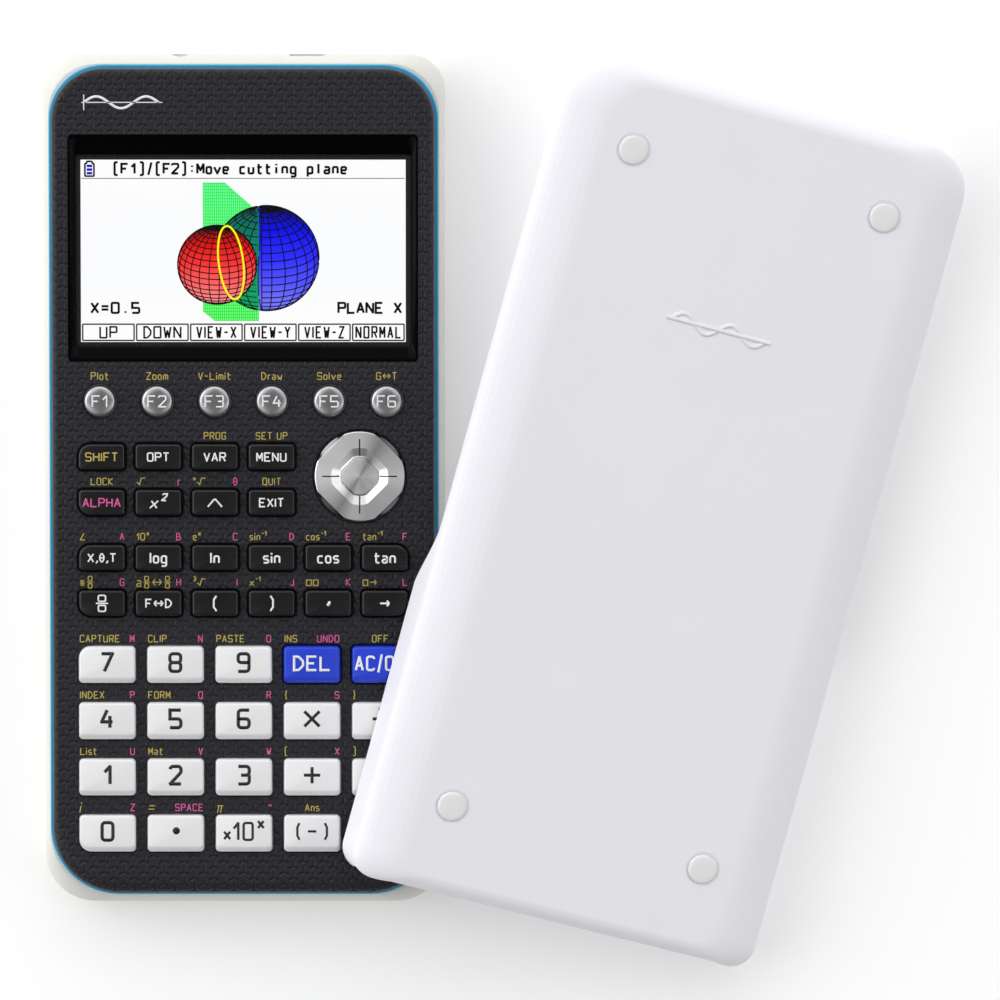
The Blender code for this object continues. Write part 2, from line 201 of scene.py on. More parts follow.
# black heat-proof plastic with a dull face, for the insides of the port sockets
PORT_BLACK = moulded("port_black_lcp", "#1b1b1d", "#141416", 0.5, 0.2 * mm, 0.004 * mm)


def case_ring(side, end, extra=0.0):
    up, low = CASE_UPPER_R + extra, CASE_LOWER_R + extra
    return ring(CASE_W - 2 * side, CASE_L - 2 * end, (low, up, up, low))


BAY_W, BAY_L, BAY_Y = 46.5 * mm, 48.0 * mm, -CASE_L * 0.20
SCREW_PLACES = [(x * mm, y * mm) for x in (-37.0, 37.0) for y in (-82.0, 6.0, 83.0)]
PORT_Y = CASE_L / 2
USB_X, JACK_X, PORT_Z = 14.0 * mm, -14.0 * mm, 6.6 * mm

# how far the sides and the ends stand in, how much rounder the corners are, and the level
rear_case = solid("rear_case_shell", [[
    (case_ring(side * mm, end * mm, rounder * mm), z) for side, end, rounder, z in (
        (2.40, 2.40, 0.0, 0.0), (1.75, 1.75, 0.0, 0.15 * mm), (1.15, 1.15, 0.0, 0.60 * mm),
        (0.60, 0.60, 0.0, 1.35 * mm), (0.25, 0.25, 0.0, 2.30 * mm), (0.06, 0.06, 0.0, 3.40 * mm),
        (0.0, 0.0, 0.0, 4.40 * mm), (0.02, 0.04, 0.0, 7.0 * mm), (0.25, 0.45, 0.6, 8.4 * mm),
        (0.70, 1.10, 1.5, 9.8 * mm), (1.10, 1.75, 2.4, SEAM_Z - 0.25 * mm),
        (1.35, 2.05, 2.8, SEAM_Z))]], CASE_WHITE)
inset = (SIDE_TAPER + WALL + 0.2 * mm, END_TAPER + WALL + 0.2 * mm)
down = Matrix.Rotation(math.radians(90), 4, "X")    # turns a flat outline to face the end
carve(rear_case, [
    solid("tub", [slab(case_ring(*inset), FLOOR, SEAM_Z + 2 * mm)]),
    solid("bay", [slab(ring(BAY_W + 2 * GAP, BAY_L + 2 * GAP, 2.0 * mm, y=BAY_Y),
                       -1 * mm, FLOOR + 1 * mm)]),
    solid("rails", [slab(ring(2 * RAIL_DEPTH, CASE_L * 0.97, 0.2 * mm, side * CASE_W / 2,
                              CASE_L * 0.03, 2), RAIL_Z, RAIL_Z + RAIL_H) for side in (-1, 1)]),
    solid("screw_wells", [slab(circle(2.9 * mm, x, y, 32), -1 * mm, 0.9 * mm)
                          for x, y in SCREW_PLACES]),
    solid("reset_hole", [slab(circle(0.8 * mm, 0.0, 40 * mm, 24), -1 * mm, 1.1 * mm)]),
    solid("usb_socket", [slab(ring(7.8 * mm, 3.2 * mm, 0.7 * mm, USB_X, PORT_Z, 4),
                              -PORT_Y - 1 * mm, -PORT_Y + 2.6 * mm)], place=down),
    solid("jack_socket", [slab(circle(1.9 * mm, JACK_X, PORT_Z, 32),
                               -PORT_Y - 1 * mm, -PORT_Y + 2.6 * mm)], place=down),
])
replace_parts(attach(rear_case, ROOT), "rear_case")

# ------------------------------------------------------------------ ports and case screws
# Link and data sockets in the upper end: black plastic blocks with a drawn steel shell.
# Six zinc-plated self-tapping screws with cross slots close the case from below.


def metal(name, colour, roughness, scratch, depth):
    """Bare or plated metal, hazy with fine marks of the given size and depth."""
    material, tree, shader = blank(name)
    place = add(tree, "ShaderNodeTexCoord").outputs["Object"]
    marks = add(tree, "ShaderNodeTexNoise", {"Vector": place, "Scale": 1 / scratch, "Detail": 4.0})
    gloss = add(tree, "ShaderNodeMapRange", {0: marks, 3: roughness - 0.08, 4: roughness + 0.08})
    relief = add(tree, "ShaderNodeBump", {"Height": marks, "Distance": depth, "Strength": 1.0})
    plug(tree, shader, {"Metallic": 1.0, "Base Color": hex_colour(colour), "Roughness": gloss,
                        "Normal": relief})
    return material


# bright zinc: even grey-white metal with a slight haze
ZINC = metal("zinc_plate", "#c9cbd0", 0.32, 0.3 * mm, 0.002 * mm)
socket_blocks = solid("port_blocks", [
    slab(ring(6.2 * mm, 1.1 * mm, 0.3 * mm, USB_X, PORT_Z, 3),
         -PORT_Y + 0.9 * mm, -PORT_Y + 2.7 * mm),
    slab(circle(1.85 * mm, JACK_X, PORT_Z, 32),
         -PORT_Y + 2.2 * mm, -PORT_Y + 2.7 * mm)], PORT_BLACK, down)
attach(socket_blocks, ROOT)
socket_shells = solid("port_shells", [
    slab(ring(7.7 * mm, 3.1 * mm, 0.65 * mm, USB_X, PORT_Z, 4),
         -PORT_Y + 0.7 * mm, -PORT_Y + 2.6 * mm),
    slab(circle(1.8 * mm, JACK_X, PORT_Z, 32),
         -PORT_Y + 0.6 * mm, -PORT_Y + 2.6 * mm)], ZINC, down)
carve(socket_shells, [solid("shell_bore", [
    slab(ring(7.2 * mm, 2.6 * mm, 0.4 * mm, USB_X, PORT_Z, 4), -PORT_Y, -PORT_Y + 3 * mm),
    slab(circle(1.3 * mm, JACK_X, PORT_Z, 32), -PORT_Y, -PORT_Y + 3 * mm)],
    place=down)])
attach(socket_shells, ROOT)


def new_tree(name, **sockets):
    """An empty geometry tree with a geometry input and named inputs for its sizes."""
    tree = bpy.data.node_groups.new(name, "GeometryNodeTree")
    tree.interface.new_socket("Geometry", in_out="INPUT", socket_type="NodeSocketGeometry")
    for label, kind in sockets.items():
        tree.interface.new_socket(label, in_out="INPUT", socket_type="NodeSocket" + kind)
    tree.interface.new_socket("Geometry", in_out="OUTPUT", socket_type="NodeSocketGeometry")
    return tree, add(tree, "NodeGroupInput").outputs


def close_tree(tree, geometry, material):
    """Every tree ends alike: real geometry with its material on it."""
    real = add(tree, "GeometryNodeRealizeInstances", {0: geometry})
    dressed = add(tree, "GeometryNodeSetMaterial", {0: real, "Material": material})
    add(tree, "NodeGroupOutput", {0: dressed})


def grow(obj, tree, **values):
    """Runs a tree on obj with its named inputs set, and keeps the result as a plain mesh."""
    names = {s.name: s.identifier for s in tree.interface.items_tree if s.in_out == "INPUT"}
    run = obj.modifiers.new(tree.name, "NODES")
    run.node_group = tree
    for label, value in values.items():
        run[names[label]] = value
    return settle(obj)


def points_object(name, places, edges=()):
    mesh = bpy.data.meshes.new(name)
    mesh.from_pydata(places, edges, [])
    return stand(name, mesh)


screw_head = solid("screw_head", [[
    (circle(radius * mm, steps=28), z * mm)
    for radius, z in ((2.1, 0.95), (2.5, 0.75), (2.45, 0.5), (2.0, 0.3), (1.2, 0.2))]])
carve(screw_head, [solid("cross_slot", [slab(ring(w, l, 0.15 * mm, steps=2), 0.0, 0.65 * mm)])
                   for w, l in ((2.6 * mm, 0.55 * mm), (0.55 * mm, 2.6 * mm))])
screw_tree, given = new_tree("screws_at_points", Head="Object", Metal="Material", Turn="Float")
head = add(screw_tree, "GeometryNodeObjectInfo", {"Object": given["Head"]})
spin = add(screw_tree, "FunctionNodeRandomValue", {2: 0.0, 3: given["Turn"], "Seed": 4})
turned = add(screw_tree, "ShaderNodeCombineXYZ", {"Z": spin.outputs[1]})
placed = add(screw_tree, "GeometryNodeInstanceOnPoints",
             {"Points": given["Geometry"], "Instance": head.outputs["Geometry"],
              "Rotation": turned})
close_tree(screw_tree, placed, given["Metal"])
screws = points_object("case_screws", [(x, y, 0.0) for x, y in SCREW_PLACES])
grow(screws, screw_tree, Head=screw_head, Metal=ZINC, Turn=1.5)
bpy.data.objects.remove(screw_head)
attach(screws, ROOT)

# ------------------------------------------------------------------ battery lid
# A flat ABS lid in the back, moulded in the case colour, with a chevron and five finger
# grooves sunk into it to show where to push.
LID_T = 1.3 * mm
GROOVE_L, GROOVE_W, GROOVE_PITCH, GROOVE_DEPTH = 16.0 * mm, 0.7 * mm, 1.6 * mm, 0.35 * mm
lid = solid("battery_lid_plate", [[
    (ring(BAY_W - 0.6 * mm, BAY_L - 0.6 * mm, 1.4 * mm, y=BAY_Y), 0.0),
    (ring(BAY_W, BAY_L, 1.7 * mm, y=BAY_Y), 0.3 * mm),
    (ring(BAY_W, BAY_L, 1.7 * mm, y=BAY_Y), LID_T)]], CASE_WHITE)
grooves = [slab(ring(GROOVE_L, GROOVE_W, 0.3 * mm, 0.0,
                     BAY_Y + (k - 2) * GROOVE_PITCH - 13 * mm, 3), -0.5 * mm, GROOVE_DEPTH)
           for k in range(5)]
arrow_head = [(x * mm, BAY_Y + y * mm) for x, y in (
    (0.0, 19.0), (-4.0, 14.0), (-2.6, 14.0), (0.0, 17.2), (2.6, 14.0), (4.0, 14.0))]
chevron = [slab(arrow_head, -0.5 * mm, GROOVE_DEPTH)]
carve(lid, [solid("lid_grooves", grooves), solid("lid_chevron", chevron)])
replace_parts(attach(lid, "lid"), "battery_lid")

# ------------------------------------------------------------------ battery cells
# Four AAA cells side by side: steel cans in a glossy shrink sleeve with a plain copper band,
# with the small positive cap at alternate ends.
CELL_D, CELL_L, CELL_PITCH = 10.5 * mm, 44.5 * mm, 11.0 * mm
cell_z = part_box("battery_cells")[0].z + CELL_D / 2
# shrink sleeve: glossy film, dark grey
SLEEVE = moulded("cell_sleeve_film", "#3c4148", "#33383f", 0.22, 0.5 * mm, 0.002 * mm)
COPPER_BAND = moulded("cell_band_print", "#c98a3c", "#bd7f34", 0.25, 0.5 * mm, 0.002 * mm)
NICKEL = metal("nickel_strip", "#c6c2b8", 0.28, 0.4 * mm, 0.002 * mm)


def cell_along(first, last, r, n, rim=0.4 * mm):
    """A round-edged length of cell n, between two distances from the lower end of the bay."""
    x = (n - 1.5) * CELL_PITCH
    if n % 2:
        first, last = CELL_L - last, CELL_L - first
    return [(circle(r - rim, x, 0.0, 40), first), (circle(r, x, 0.0, 40), first + rim),
            (circle(r, x, 0.0, 40), last - rim), (circle(r - rim, x, 0.0, 40), last)]


along_y = (Matrix.Translation((0.0, BAY_Y + CELL_L / 2, cell_z))
           @ Matrix.Rotation(math.radians(90), 4, "X"))
r = CELL_D / 2
for name, spans, finish in (
        ("cell_sleeves", (0.6, 31.0, r), SLEEVE), ("cell_bands", (30.5, 42.9, r), COPPER_BAND),
        ("cell_ends", (0.1, 43.4, r - 0.5 * mm), NICKEL),
        ("cell_caps", (43.0, 44.3, 1.8 * mm), NICKEL)):
    piece = solid(name, [cell_along(spans[0] * mm, spans[1] * mm, spans[2], n, 0.3 * mm)
                         for n in range(4)], finish, along_y)
    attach(piece, ROOT)
    if name == "cell_sleeves":
        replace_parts(piece, "battery_cells")

# ------------------------------------------------------------------ trim band
# A thin decorative ring clamped between the case halves, moulded in bright blue ABS with a
# polished edge; it shows as a clear line right round the front.
FACE_W, FACE_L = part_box("front_case")[1].x * 2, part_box("front_case")[1].y * 2
TRIM_LOW, TRIM_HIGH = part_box("trim_band")[0].z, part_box("trim_band")[1].z
TRIM_STEP = 0.75 * mm
BAND_UP, BAND_LOW = 12.2 * mm, 15.2 * mm


def band_ring(inset):
    up, low = BAND_UP - inset, BAND_LOW - inset
    return ring(FACE_W + 2 * (TRIM_STEP - inset), FACE_L + 2 * (TRIM_STEP - inset),
                (low, up, up, low), steps=14)


# polished coloured ABS: strong colour, clean soft-box reflections
TRIM_BLUE = moulded("polished_blue_abs", "#33a8d8", "#2b9fcf", 0.16, 0.6 * mm, 0.001 * mm)
trim = solid("trim_ring", [[
    (band_ring(0.12 * mm), TRIM_LOW), (band_ring(0.0), TRIM_LOW + 0.12 * mm),
    (band_ring(0.0), TRIM_HIGH - 0.25 * mm), (band_ring(0.08 * mm), TRIM_HIGH - 0.08 * mm),
    (band_ring(0.25 * mm), TRIM_HIGH)]], TRIM_BLUE)
carve(trim, [solid("band_bore", [slab(band_ring(TRIM_STEP + WALL), TRIM_LOW - 1 * mm,
                                      TRIM_HIGH + 1 * mm)])])
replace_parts(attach(trim, ROOT), "trim_band")

# ------------------------------------------------------------------ front case
# The black front half, ABS moulded in a tool engraved with rows of small three-armed stars.
# Its key end rolls down, and every key hole has a small chamfer.
SKIRT_Z, TOP_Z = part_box("front_case")[0].z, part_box("front_case")[1].z
PANEL_T = 1.5 * mm
PANEL_Z = TOP_Z - PANEL_T
COLLAR = 0.6 * mm                                                # keeps a key in its hole
KEY_CORNER, KEY_WIDE_CORNER = 0.92 * mm, 2.65 * mm
BEZEL = (FACE_W * 0.9137, FACE_L * 0.2749, FACE_L * 0.2831)      # width, length, y
WINDOW = (FACE_W * 0.8747, FACE_L * 0.2306, FACE_L * 0.2798)
STAR_X, STAR_Y = 2.208 * mm, 2.55 * mm                           # pitch of the star pattern
ARM_UP, ARM_ASIDE, ARM_EDGE, ARM_FLOOR = 1.15 * mm, 1.0 * mm, 0.42 * mm, 0.14 * mm

# what each key says, what is printed in gold and in pink above it
KEYS = {
    "f1": ("F1", "Plot", ""), "f2": ("F2", "Zoom", ""), "f3": ("F3", "V-Limit", ""),
    "f4": ("F4", "Draw", ""), "f5": ("F5", "Solve", ""), "f6": ("F6", "G↔T", ""),
    "shift": ("SHIFT", "", ""), "option": ("OPT", "", ""), "vars": ("VAR", "PROG", ""),
    "menu": ("MENU", "SET UP", ""),
    "alpha": ("ALPHA", "LOCK", ""), "square": ("x^2", "√", "r"), "power": ("∧", "^x_√", "θ"),
    "exit": ("EXIT", "QUIT", ""),
    "variable": ("X,θ,T", "∠", "A"), "log": ("log", "10^x", "B"), "ln": ("ln", "e^x", "C"),
    "sin": ("sin", "sin^-1", "D"), "cos": ("cos", "cos^-1", "E"), "tan": ("tan", "tan^-1", "F"),
    "fraction": ("▤", "■▤", "G"), "convert": ("F↔D", "a▤↔▤", "H"),
    "paren_open": ("(", "^3_√", "I"), "paren_close": (")", "x^-1", "J"),
    "comma": ("’", "□□", "K"), "store": ("→", "□→", "L"),
    "7": ("7", "CAPTURE", "M"), "8": ("8", "CLIP", "N"), "9": ("9", "PASTE", "O"),
    "delete": ("DEL", "INS", "UNDO"), "clear": ("AC/ON", "OFF", ""),
    "4": ("4", "INDEX", "P"), "5": ("5", "FORM", "Q"), "6": ("6", "", "R"),
    "times": ("×", "{", "S"), "divide": ("÷", "}", "T"),
    "1": ("1", "List", "U"), "2": ("2", "Mat", "V"), "3": ("3", "", "W"),
    "plus": ("+", "[", "X"), "minus": ("−", "]", "Y"),
    "0": ("0", "i", "Z"), "point": ("•", "=", "SPACE"), "exponent": ("~×_10^x", "π", "\""),
    "negate": ("(~ _−~ _)", "Ans", ""), "execute": ("EXE", "", ""),
}
ROUND_KEYS = {key for key in KEYS if key[0] == "f" and key[1:].isdigit()}
# the corner that is cut wide, counted from the lower right
WIDE_CORNERS = {"shift": 2, "alpha": 3, "variable": 2, "fraction": 3, "tan": 1, "store": 0,
                "7": 2, "0": 3, "clear": 1, "execute": 0}


def key_place(key):
    """Centre, width, height, lower and upper level of a key's cap, without its collar."""
    low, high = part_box("key_" + key)
    return ((low.x + high.x) / 2, (low.y + high.y) / 2, high.x - low.x - 2 * COLLAR,
            high.y - low.y - 2 * COLLAR, low.z, high.z)


def key_outline(key, grow=0.0, lift=0.0):
    """A key's outline, grown all round; lift draws its lower edge in."""
    x, y, w, h, _, _ = key_place(key)
    if key in ROUND_KEYS:
        return circle(w / 2 + grow, x, y, 48)
    radii = [KEY_CORNER + grow] * 4
    if key in WIDE_CORNERS:
        radii[WIDE_CORNERS[key]] = KEY_WIDE_CORNER + grow
    return ring(w + 2 * grow, h + 2 * grow - lift, tuple(max(q, 0.1 * mm) for q in radii),
                x, y + lift / 2, steps=6)


def face_ring(inset, roll=0.0):
    up, low = BAND_UP - TRIM_STEP - inset, BAND_LOW - TRIM_STEP - inset
    return ring(FACE_W - 2 * inset, FACE_L - 2 * inset - roll, (low, up, up, low),
                y=roll / 2, steps=14)


def star_grain():
    """Black ABS with the star pattern sunk in; the stars are also coloured darker, as painted
    shade in their hollows.
    """
    material = moulded("star_grained_black_abs_painted_shade", "#232229", "#1f1e25", 0.42, 0.2 * mm, 0.004 * mm)
    tree = material.node_tree
    shader = tree.nodes["Principled BSDF"]
    shader.inputs["Specular IOR Level"].default_value = 0.35
    place = add(tree, "ShaderNodeTexCoord").outputs["Object"]
    flat = add(tree, "ShaderNodeVectorMath", {0: place, 1: (1, 1, 0)}, operation="MULTIPLY")
    half = (STAR_X, STAR_Y / 2, 1.0)
    cells = []
    for shift in ((0, 0, 0), half):
        moved = add(tree, "ShaderNodeVectorMath", {0: flat, 1: shift}, operation="ADD")
        cells.append(add(tree, "ShaderNodeVectorMath", {
            0: moved, 1: half, 2: tuple(-v for v in half)}, operation="WRAP"))
    flats = [add(tree, "ShaderNodeVectorMath", {0: c, 1: (1, 1, 0)}, operation="MULTIPLY")
             for c in cells]
    reach = [add(tree, "ShaderNodeVectorMath", {0: c}, operation="LENGTH").outputs["Value"]
             for c in flats]
    second = add(tree, "ShaderNodeMath", {0: reach[0], 1: reach[1]}, operation="GREATER_THAN")
    near = add(tree, "ShaderNodeMix", {0: second, 4: flats[0], 5: flats[1]}, data_type="VECTOR")
    near = near.outputs[1]
    sides = add(tree, "ShaderNodeVectorMath", {0: near}, operation="ABSOLUTE")
    x = add(tree, "ShaderNodeSeparateXYZ", {0: sides}).outputs["X"]
    y = add(tree, "ShaderNodeSeparateXYZ", {0: near}).outputs["Y"]
    folded = add(tree, "ShaderNodeCombineXYZ", {"X": x, "Y": y})
    gaps = []
    for arm, length in (((0.0, 1.0, 0.0), ARM_UP), ((0.866, -0.5, 0.0), ARM_ASIDE)):
        along = add(tree, "ShaderNodeVectorMath", {0: folded, 1: arm}, operation="DOT_PRODUCT")
        held = add(tree, "ShaderNodeClamp", {0: along.outputs["Value"], 1: 0.0, 2: length})
        foot = add(tree, "ShaderNodeVectorMath", {0: arm, "Scale": held}, operation="SCALE")
        gaps.append(add(tree, "ShaderNodeVectorMath", {0: folded, 1: foot},
                        operation="DISTANCE").outputs["Value"])
    nearest = add(tree, "ShaderNodeMath", {0: gaps[0], 1: gaps[1]}, operation="MINIMUM")
    sunk_and_shaded = add(tree, "ShaderNodeMapRange", {0: nearest, 1: ARM_EDGE, 2: ARM_FLOOR},
               interpolation_type="SMOOTHSTEP")
    # the side walls stay plain
    normal = add(tree, "ShaderNodeNewGeometry").outputs["Normal"]
    facing = add(tree, "ShaderNodeSeparateXYZ", {0: normal})
    upper = add(tree, "ShaderNodeMapRange", {0: facing.outputs["Z"], 1: 0.35, 2: 0.75})
    sunk_and_shaded = add(tree, "ShaderNodeMath", {0: sunk_and_shaded, 1: upper}, operation="MULTIPLY")
    base = shader.inputs["Base Color"].links[0].from_socket
    # painted shade: the sunk stars are mixed towards near-black, on top of their bump
    tint = add(tree, "ShaderNodeMix", {0: sunk_and_shaded, 6: base, 7: hex_colour("#131218")},
               data_type="RGBA")
    under = shader.inputs["Normal"].links[0].from_socket
    relief = add(tree, "ShaderNodeBump", {"Height": sunk_and_shaded, "Normal": under, "Strength": 1.0,
                                          "Distance": 0.16 * mm}, invert=True)
    plug(tree, shader, {"Base Color": tint.outputs[2], "Normal": relief})
    return material


FRONT_BLACK = star_grain()
front = solid("front_panel", [[(face_ring(0.0), SKIRT_Z)] + [
    (face_ring(inset * mm, roll * mm), TOP_Z - drop * mm)
    for inset, roll, drop in (
        (0.0, 0.0, 1.7), (0.05, 0.3, 1.2), (0.18, 0.8, 0.75), (0.38, 1.5, 0.40),
        (0.65, 2.3, 0.16), (0.95, 3.2, 0.04), (1.25, 4.0, 0.0))]], FRONT_BLACK)
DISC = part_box("rocker_disc")
DISC_X, DISC_Y = (DISC[0].x + DISC[1].x) / 2, (DISC[0].y + DISC[1].y) / 2
DISC_R = (DISC[1].x - DISC[0].x) / 2
chamfer = ((GAP, PANEL_Z - 1 * mm), (GAP, TOP_Z - 0.22 * mm), (GAP + 0.16 * mm, TOP_Z),
           (GAP + 0.16 * mm, TOP_Z + 1 * mm))
carve(front, [
    solid("front_hollow", [slab(face_ring(WALL), SKIRT_Z - 1 * mm, PANEL_Z)]),
    solid("display_hole", [slab(ring(BEZEL[0], BEZEL[1], 1.0 * mm, y=BEZEL[2], steps=5),
                                PANEL_Z - 1 * mm, TOP_Z + 1 * mm)]),
    solid("key_holes", [[(key_outline(key, grow), z) for grow, z in chamfer] for key in KEYS]
          + [[(circle(DISC_R + 0.1 * mm + grow, DISC_X, DISC_Y, 96), z)
              for grow, z in chamfer]]),
])
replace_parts(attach(front, ROOT), "front_case")

# ------------------------------------------------------------------ display bezel and window
# A gloss-black frame glued into the front, sloping down to the window.  The window is clear
# acrylic.
WINDOW_LOW, WINDOW_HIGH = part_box("display_window")[0].z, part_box("display_window")[1].z
# piano-black ABS: nearly a mirror for the soft boxes, but black between them
BEZEL_BLACK = moulded("piano_black_abs", "#040405", "#030304", 0.12, 0.8 * mm, 0.0005 * mm)
BEZEL_BLACK.node_tree.nodes["Principled BSDF"].inputs["Specular IOR Level"].default_value = 0.06
bezel = solid("display_bezel", [slab(
    ring(BEZEL[0] - 0.10 * mm, BEZEL[1] - 0.10 * mm, 0.95 * mm, y=BEZEL[2]),
    PANEL_Z, TOP_Z)], BEZEL_BLACK)
carve(bezel, [solid("bezel_slope", [[
    (ring(WINDOW[0] + GAP, WINDOW[1] + GAP, 0.8 * mm, y=WINDOW[2]), PANEL_Z - 1 * mm),
    (ring(WINDOW[0] + GAP, WINDOW[1] + GAP, 0.8 * mm, y=WINDOW[2]), WINDOW_HIGH - 0.15 * mm),
    (ring(WINDOW[0] + 0.8 * mm, WINDOW[1] + 0.8 * mm, 1.0 * mm, y=WINDOW[2]),
     WINDOW_HIGH + 0.05 * mm),
    (ring(BEZEL[0] - 1.4 * mm, BEZEL[1] - 1.4 * mm, 1.6 * mm, y=BEZEL[2]), TOP_Z - 0.12 * mm),
    (ring(BEZEL[0] - 0.6 * mm, BEZEL[1] - 0.6 * mm, 1.2 * mm, y=BEZEL[2]), TOP_Z),
    (ring(BEZEL[0] - 0.6 * mm, BEZEL[1] - 0.6 * mm, 1.2 * mm, y=BEZEL[2]), TOP_Z + 1 * mm)]])],
    crease=30)
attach(bezel, ROOT)

# hard-coated acrylic: almost all light goes straight through, a faint clean reflection stays
CLEAR, tree, shader = blank("clear_acrylic")
smears = add(tree, "ShaderNodeTexNoise", {
    "Vector": add(tree, "ShaderNodeTexCoord").outputs["Object"], "Scale": 60.0})
haze = add(tree, "ShaderNodeMapRange", {0: smears, 3: 0.03, 4: 0.09})
plug(tree, shader, {"Base Color": hex_colour("#101012"), "Alpha": 0.04, "IOR": 1.49,
                    "Roughness": haze})
window = solid("display_window_plate", [[
    (ring(WINDOW[0], WINDOW[1], 0.6 * mm, y=WINDOW[2]), WINDOW_LOW),
    (ring(WINDOW[0], WINDOW[1], 0.6 * mm, y=WINDOW[2]), WINDOW_HIGH - 0.1 * mm),
    (ring(WINDOW[0] - 0.2 * mm, WINDOW[1] - 0.2 * mm, 0.5 * mm, y=WINDOW[2]), WINDOW_HIGH)]],
    CLEAR)
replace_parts(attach(window, ROOT), "display_window")

# ------------------------------------------------------------------ strokes for print
# All print is pad-printed, each sign in one even line weight, so it is drawn as pen strokes
# on a grid four wide and six high (base line 2, capitals to 8).  A spot given twice keeps
# its corner square; all other corners are rounded by the pen.
SIGNS = {
    "0": "22 02 08 48 42 22", "1": "06 28 22", "2": "07 08 48 46 02 42",
    "3": "08 48 45 15|45 42 02", "4": "28 04 44|36 32", "5": "48 08 08 05 05 45 42 02",
    "6": "48 08 02 42 45 05", "7": "08 48 12", "8": "25 05 08 48 45 25|25 05 02 42 45 25",
    "9": "02 42 48 08 05 45", "A": "02 28 42|14 34", "B": "22 02 02 08 08 38 35 05|35 45 42 22",
    "C": "47 48 08 02 42 43", "D": "22 02 02 08 08 28 46 44 22", "E": "48 08 08 02 02 42|05 35",
    "F": "48 08 08 02|05 35", "G": "47 48 08 02 42 45 25", "H": "02 08|42 48|05 45", "I": "02 08",
    "J": "38 32 02 03", "K": "02 08|48 05 42", "L": "08 02 02 42", "M": "02 08 24 48 42",
    "N": "02 08 42 48", "O": "22 02 08 48 42 22", "P": "02 08 08 48 45 05",
    "Q": "22 02 08 48 42 22|33 41", "R": "02 08 08 48 45 05|25 42",
    "S": "47 48 08 05 45 42 02 03", "T": "08 48|28 22", "U": "08 02 42 48", "V": "08 22 48",
    "W": "08 12 26 32 48", "X": "02 48|08 42", "Y": "08 25 48|25 22", "Z": "08 48 02 42",
    "a": "06 36 32 02 04 34", "b": "08 02 32 36 06", "c": "36 06 02 32", "d": "38 32 02 06 36",
    "e": "04 34 36 06 02 32", "f": "28 18 12|06 26", "g": "36 06 02 32|36 30 00",
    "h": "08 02|06 36 32", "i": "02 06|07 08", "l": "08 02", "m": "02 06 46 42|26 22",
    "n": "02 06 36 32", "o": "16 06 02 32 36 16", "p": "00 06 36 32 02", "r": "02 06 26",
    "s": "36 06 04 34 32 02", "t": "18 12 32|06 36", "u": "06 02 32 36", "v": "06 22 46",
    "w": "06 12 24 32 46", "x": "02 46|06 42", "y": "06 23|46 10", "z": "06 36 02 32",
    "+": "05 45|27 23", "−": "05 45", "-": "05 35", "×": "03 47|07 43", "÷": "05 45|28 27|23 22",
    "•": "24 34 45 46 37 27 16 15 24", ".": "02 03", ",": "13 12 01", "=": "04 44|06 46",
    ":": "03 04|06 07", "/": "01 29", "(": "19 07 03 11", ")": "09 17 13 01", "[": "29 09 01 21",
    "]": "09 29 21 01", "{": "29 19 16 05 14 11 21", "}": "09 19 16 25 14 11 01",
    "\"": "08 06|28 26", "∧": "03 47 83", "∠": "48 02 52", "√": "04 14 32 58 58 98",
    "π": "06 46|16 12|36 32", "θ": "12 04 06 18 28 36 34 22 12|05 35", "→": "05 75|57 75 53",
    "↔": "05 75|57 75 53|27 05 23", "’": "16 15 04", "■": "03 33|04 34|05 35|06 36",
    "□": "12 02 02 07 07 57 57 52 52 12", "▤": "05 55|16 19 49 46 16|14 11 41 44 14",
}


SPACING, BLANK = 1.9, 3.2           # between signs, and a space's width, in grid steps
LEVELS = {"^": (0.62, 4.2), "~": (0.66, -0.4), "_": (1.0, 0.0)}     # size and rise
CROSSING = 0.003 * mm               # strokes that follow each other differ in height


def write(text, x, y, height, align=0.5, weight=0.0, stretch=1.0, lean=0.0, pitch=0.0):
    """Pen strokes for a text, its capitals centred on y; align 0 starts at x, 1 ends at x.
    What follows ^ is small and raised, and what follows ~ small and low, up to _.
    With a pitch, all signs get the same room, as on a display."""
    unit = (height - weight) / 6
    pen, scale, raised, strokes = 0.0, 1.0, 0.0, []
    for sign in text:
        if sign in LEVELS:
            scale, raised = LEVELS[sign]
            continue
        if sign == " ":
            pen += pitch / unit if pitch else BLANK * scale
            continue
        lines = [[(int(p[0]), int(p[1])) for p in line.split()]
                 for line in SIGNS[sign].split("|")]
        wide = max(px for line in lines for px, _ in line) * stretch
        spare = pitch / unit - wide - SPACING if pitch else 0.0
        for line in lines:
            strokes.append([(pen + spare / 2 + px * scale * stretch, raised + (py - 2) * scale)
                            for px, py in line])
        pen += (wide + spare + SPACING) * scale
    pen -= SPACING * scale
    return [[(x + (px - align * pen + lean * (py - 3)) * unit, y + (py - 3) * unit)
             for px, py in line] for line in strokes]


stroke_tree, given = new_tree("pen_strokes", Weight="Float", Thickness="Float", Corner="Float",
                              Ink="Material")
curve = add(stroke_tree, "GeometryNodeMeshToCurve", {0: given["Geometry"]})
upright = add(stroke_tree, "GeometryNodeSetCurveNormal", {0: curve}, mode="Z_UP")
eased = add(stroke_tree, "GeometryNodeFilletCurve",
            {"Curve": upright, "Count": 3, "Radius": given["Corner"], "Limit Radius": True},
            mode="POLY")
nib = add(stroke_tree, "GeometryNodeCurvePrimitiveQuadrilateral",
          {0: given["Weight"], 1: given["Thickness"]})
drawn = add(stroke_tree, "GeometryNodeCurveToMesh",
            {"Curve": eased, "Profile Curve": nib, "Fill Caps": True})
close_tree(stroke_tree, drawn, given["Ink"])


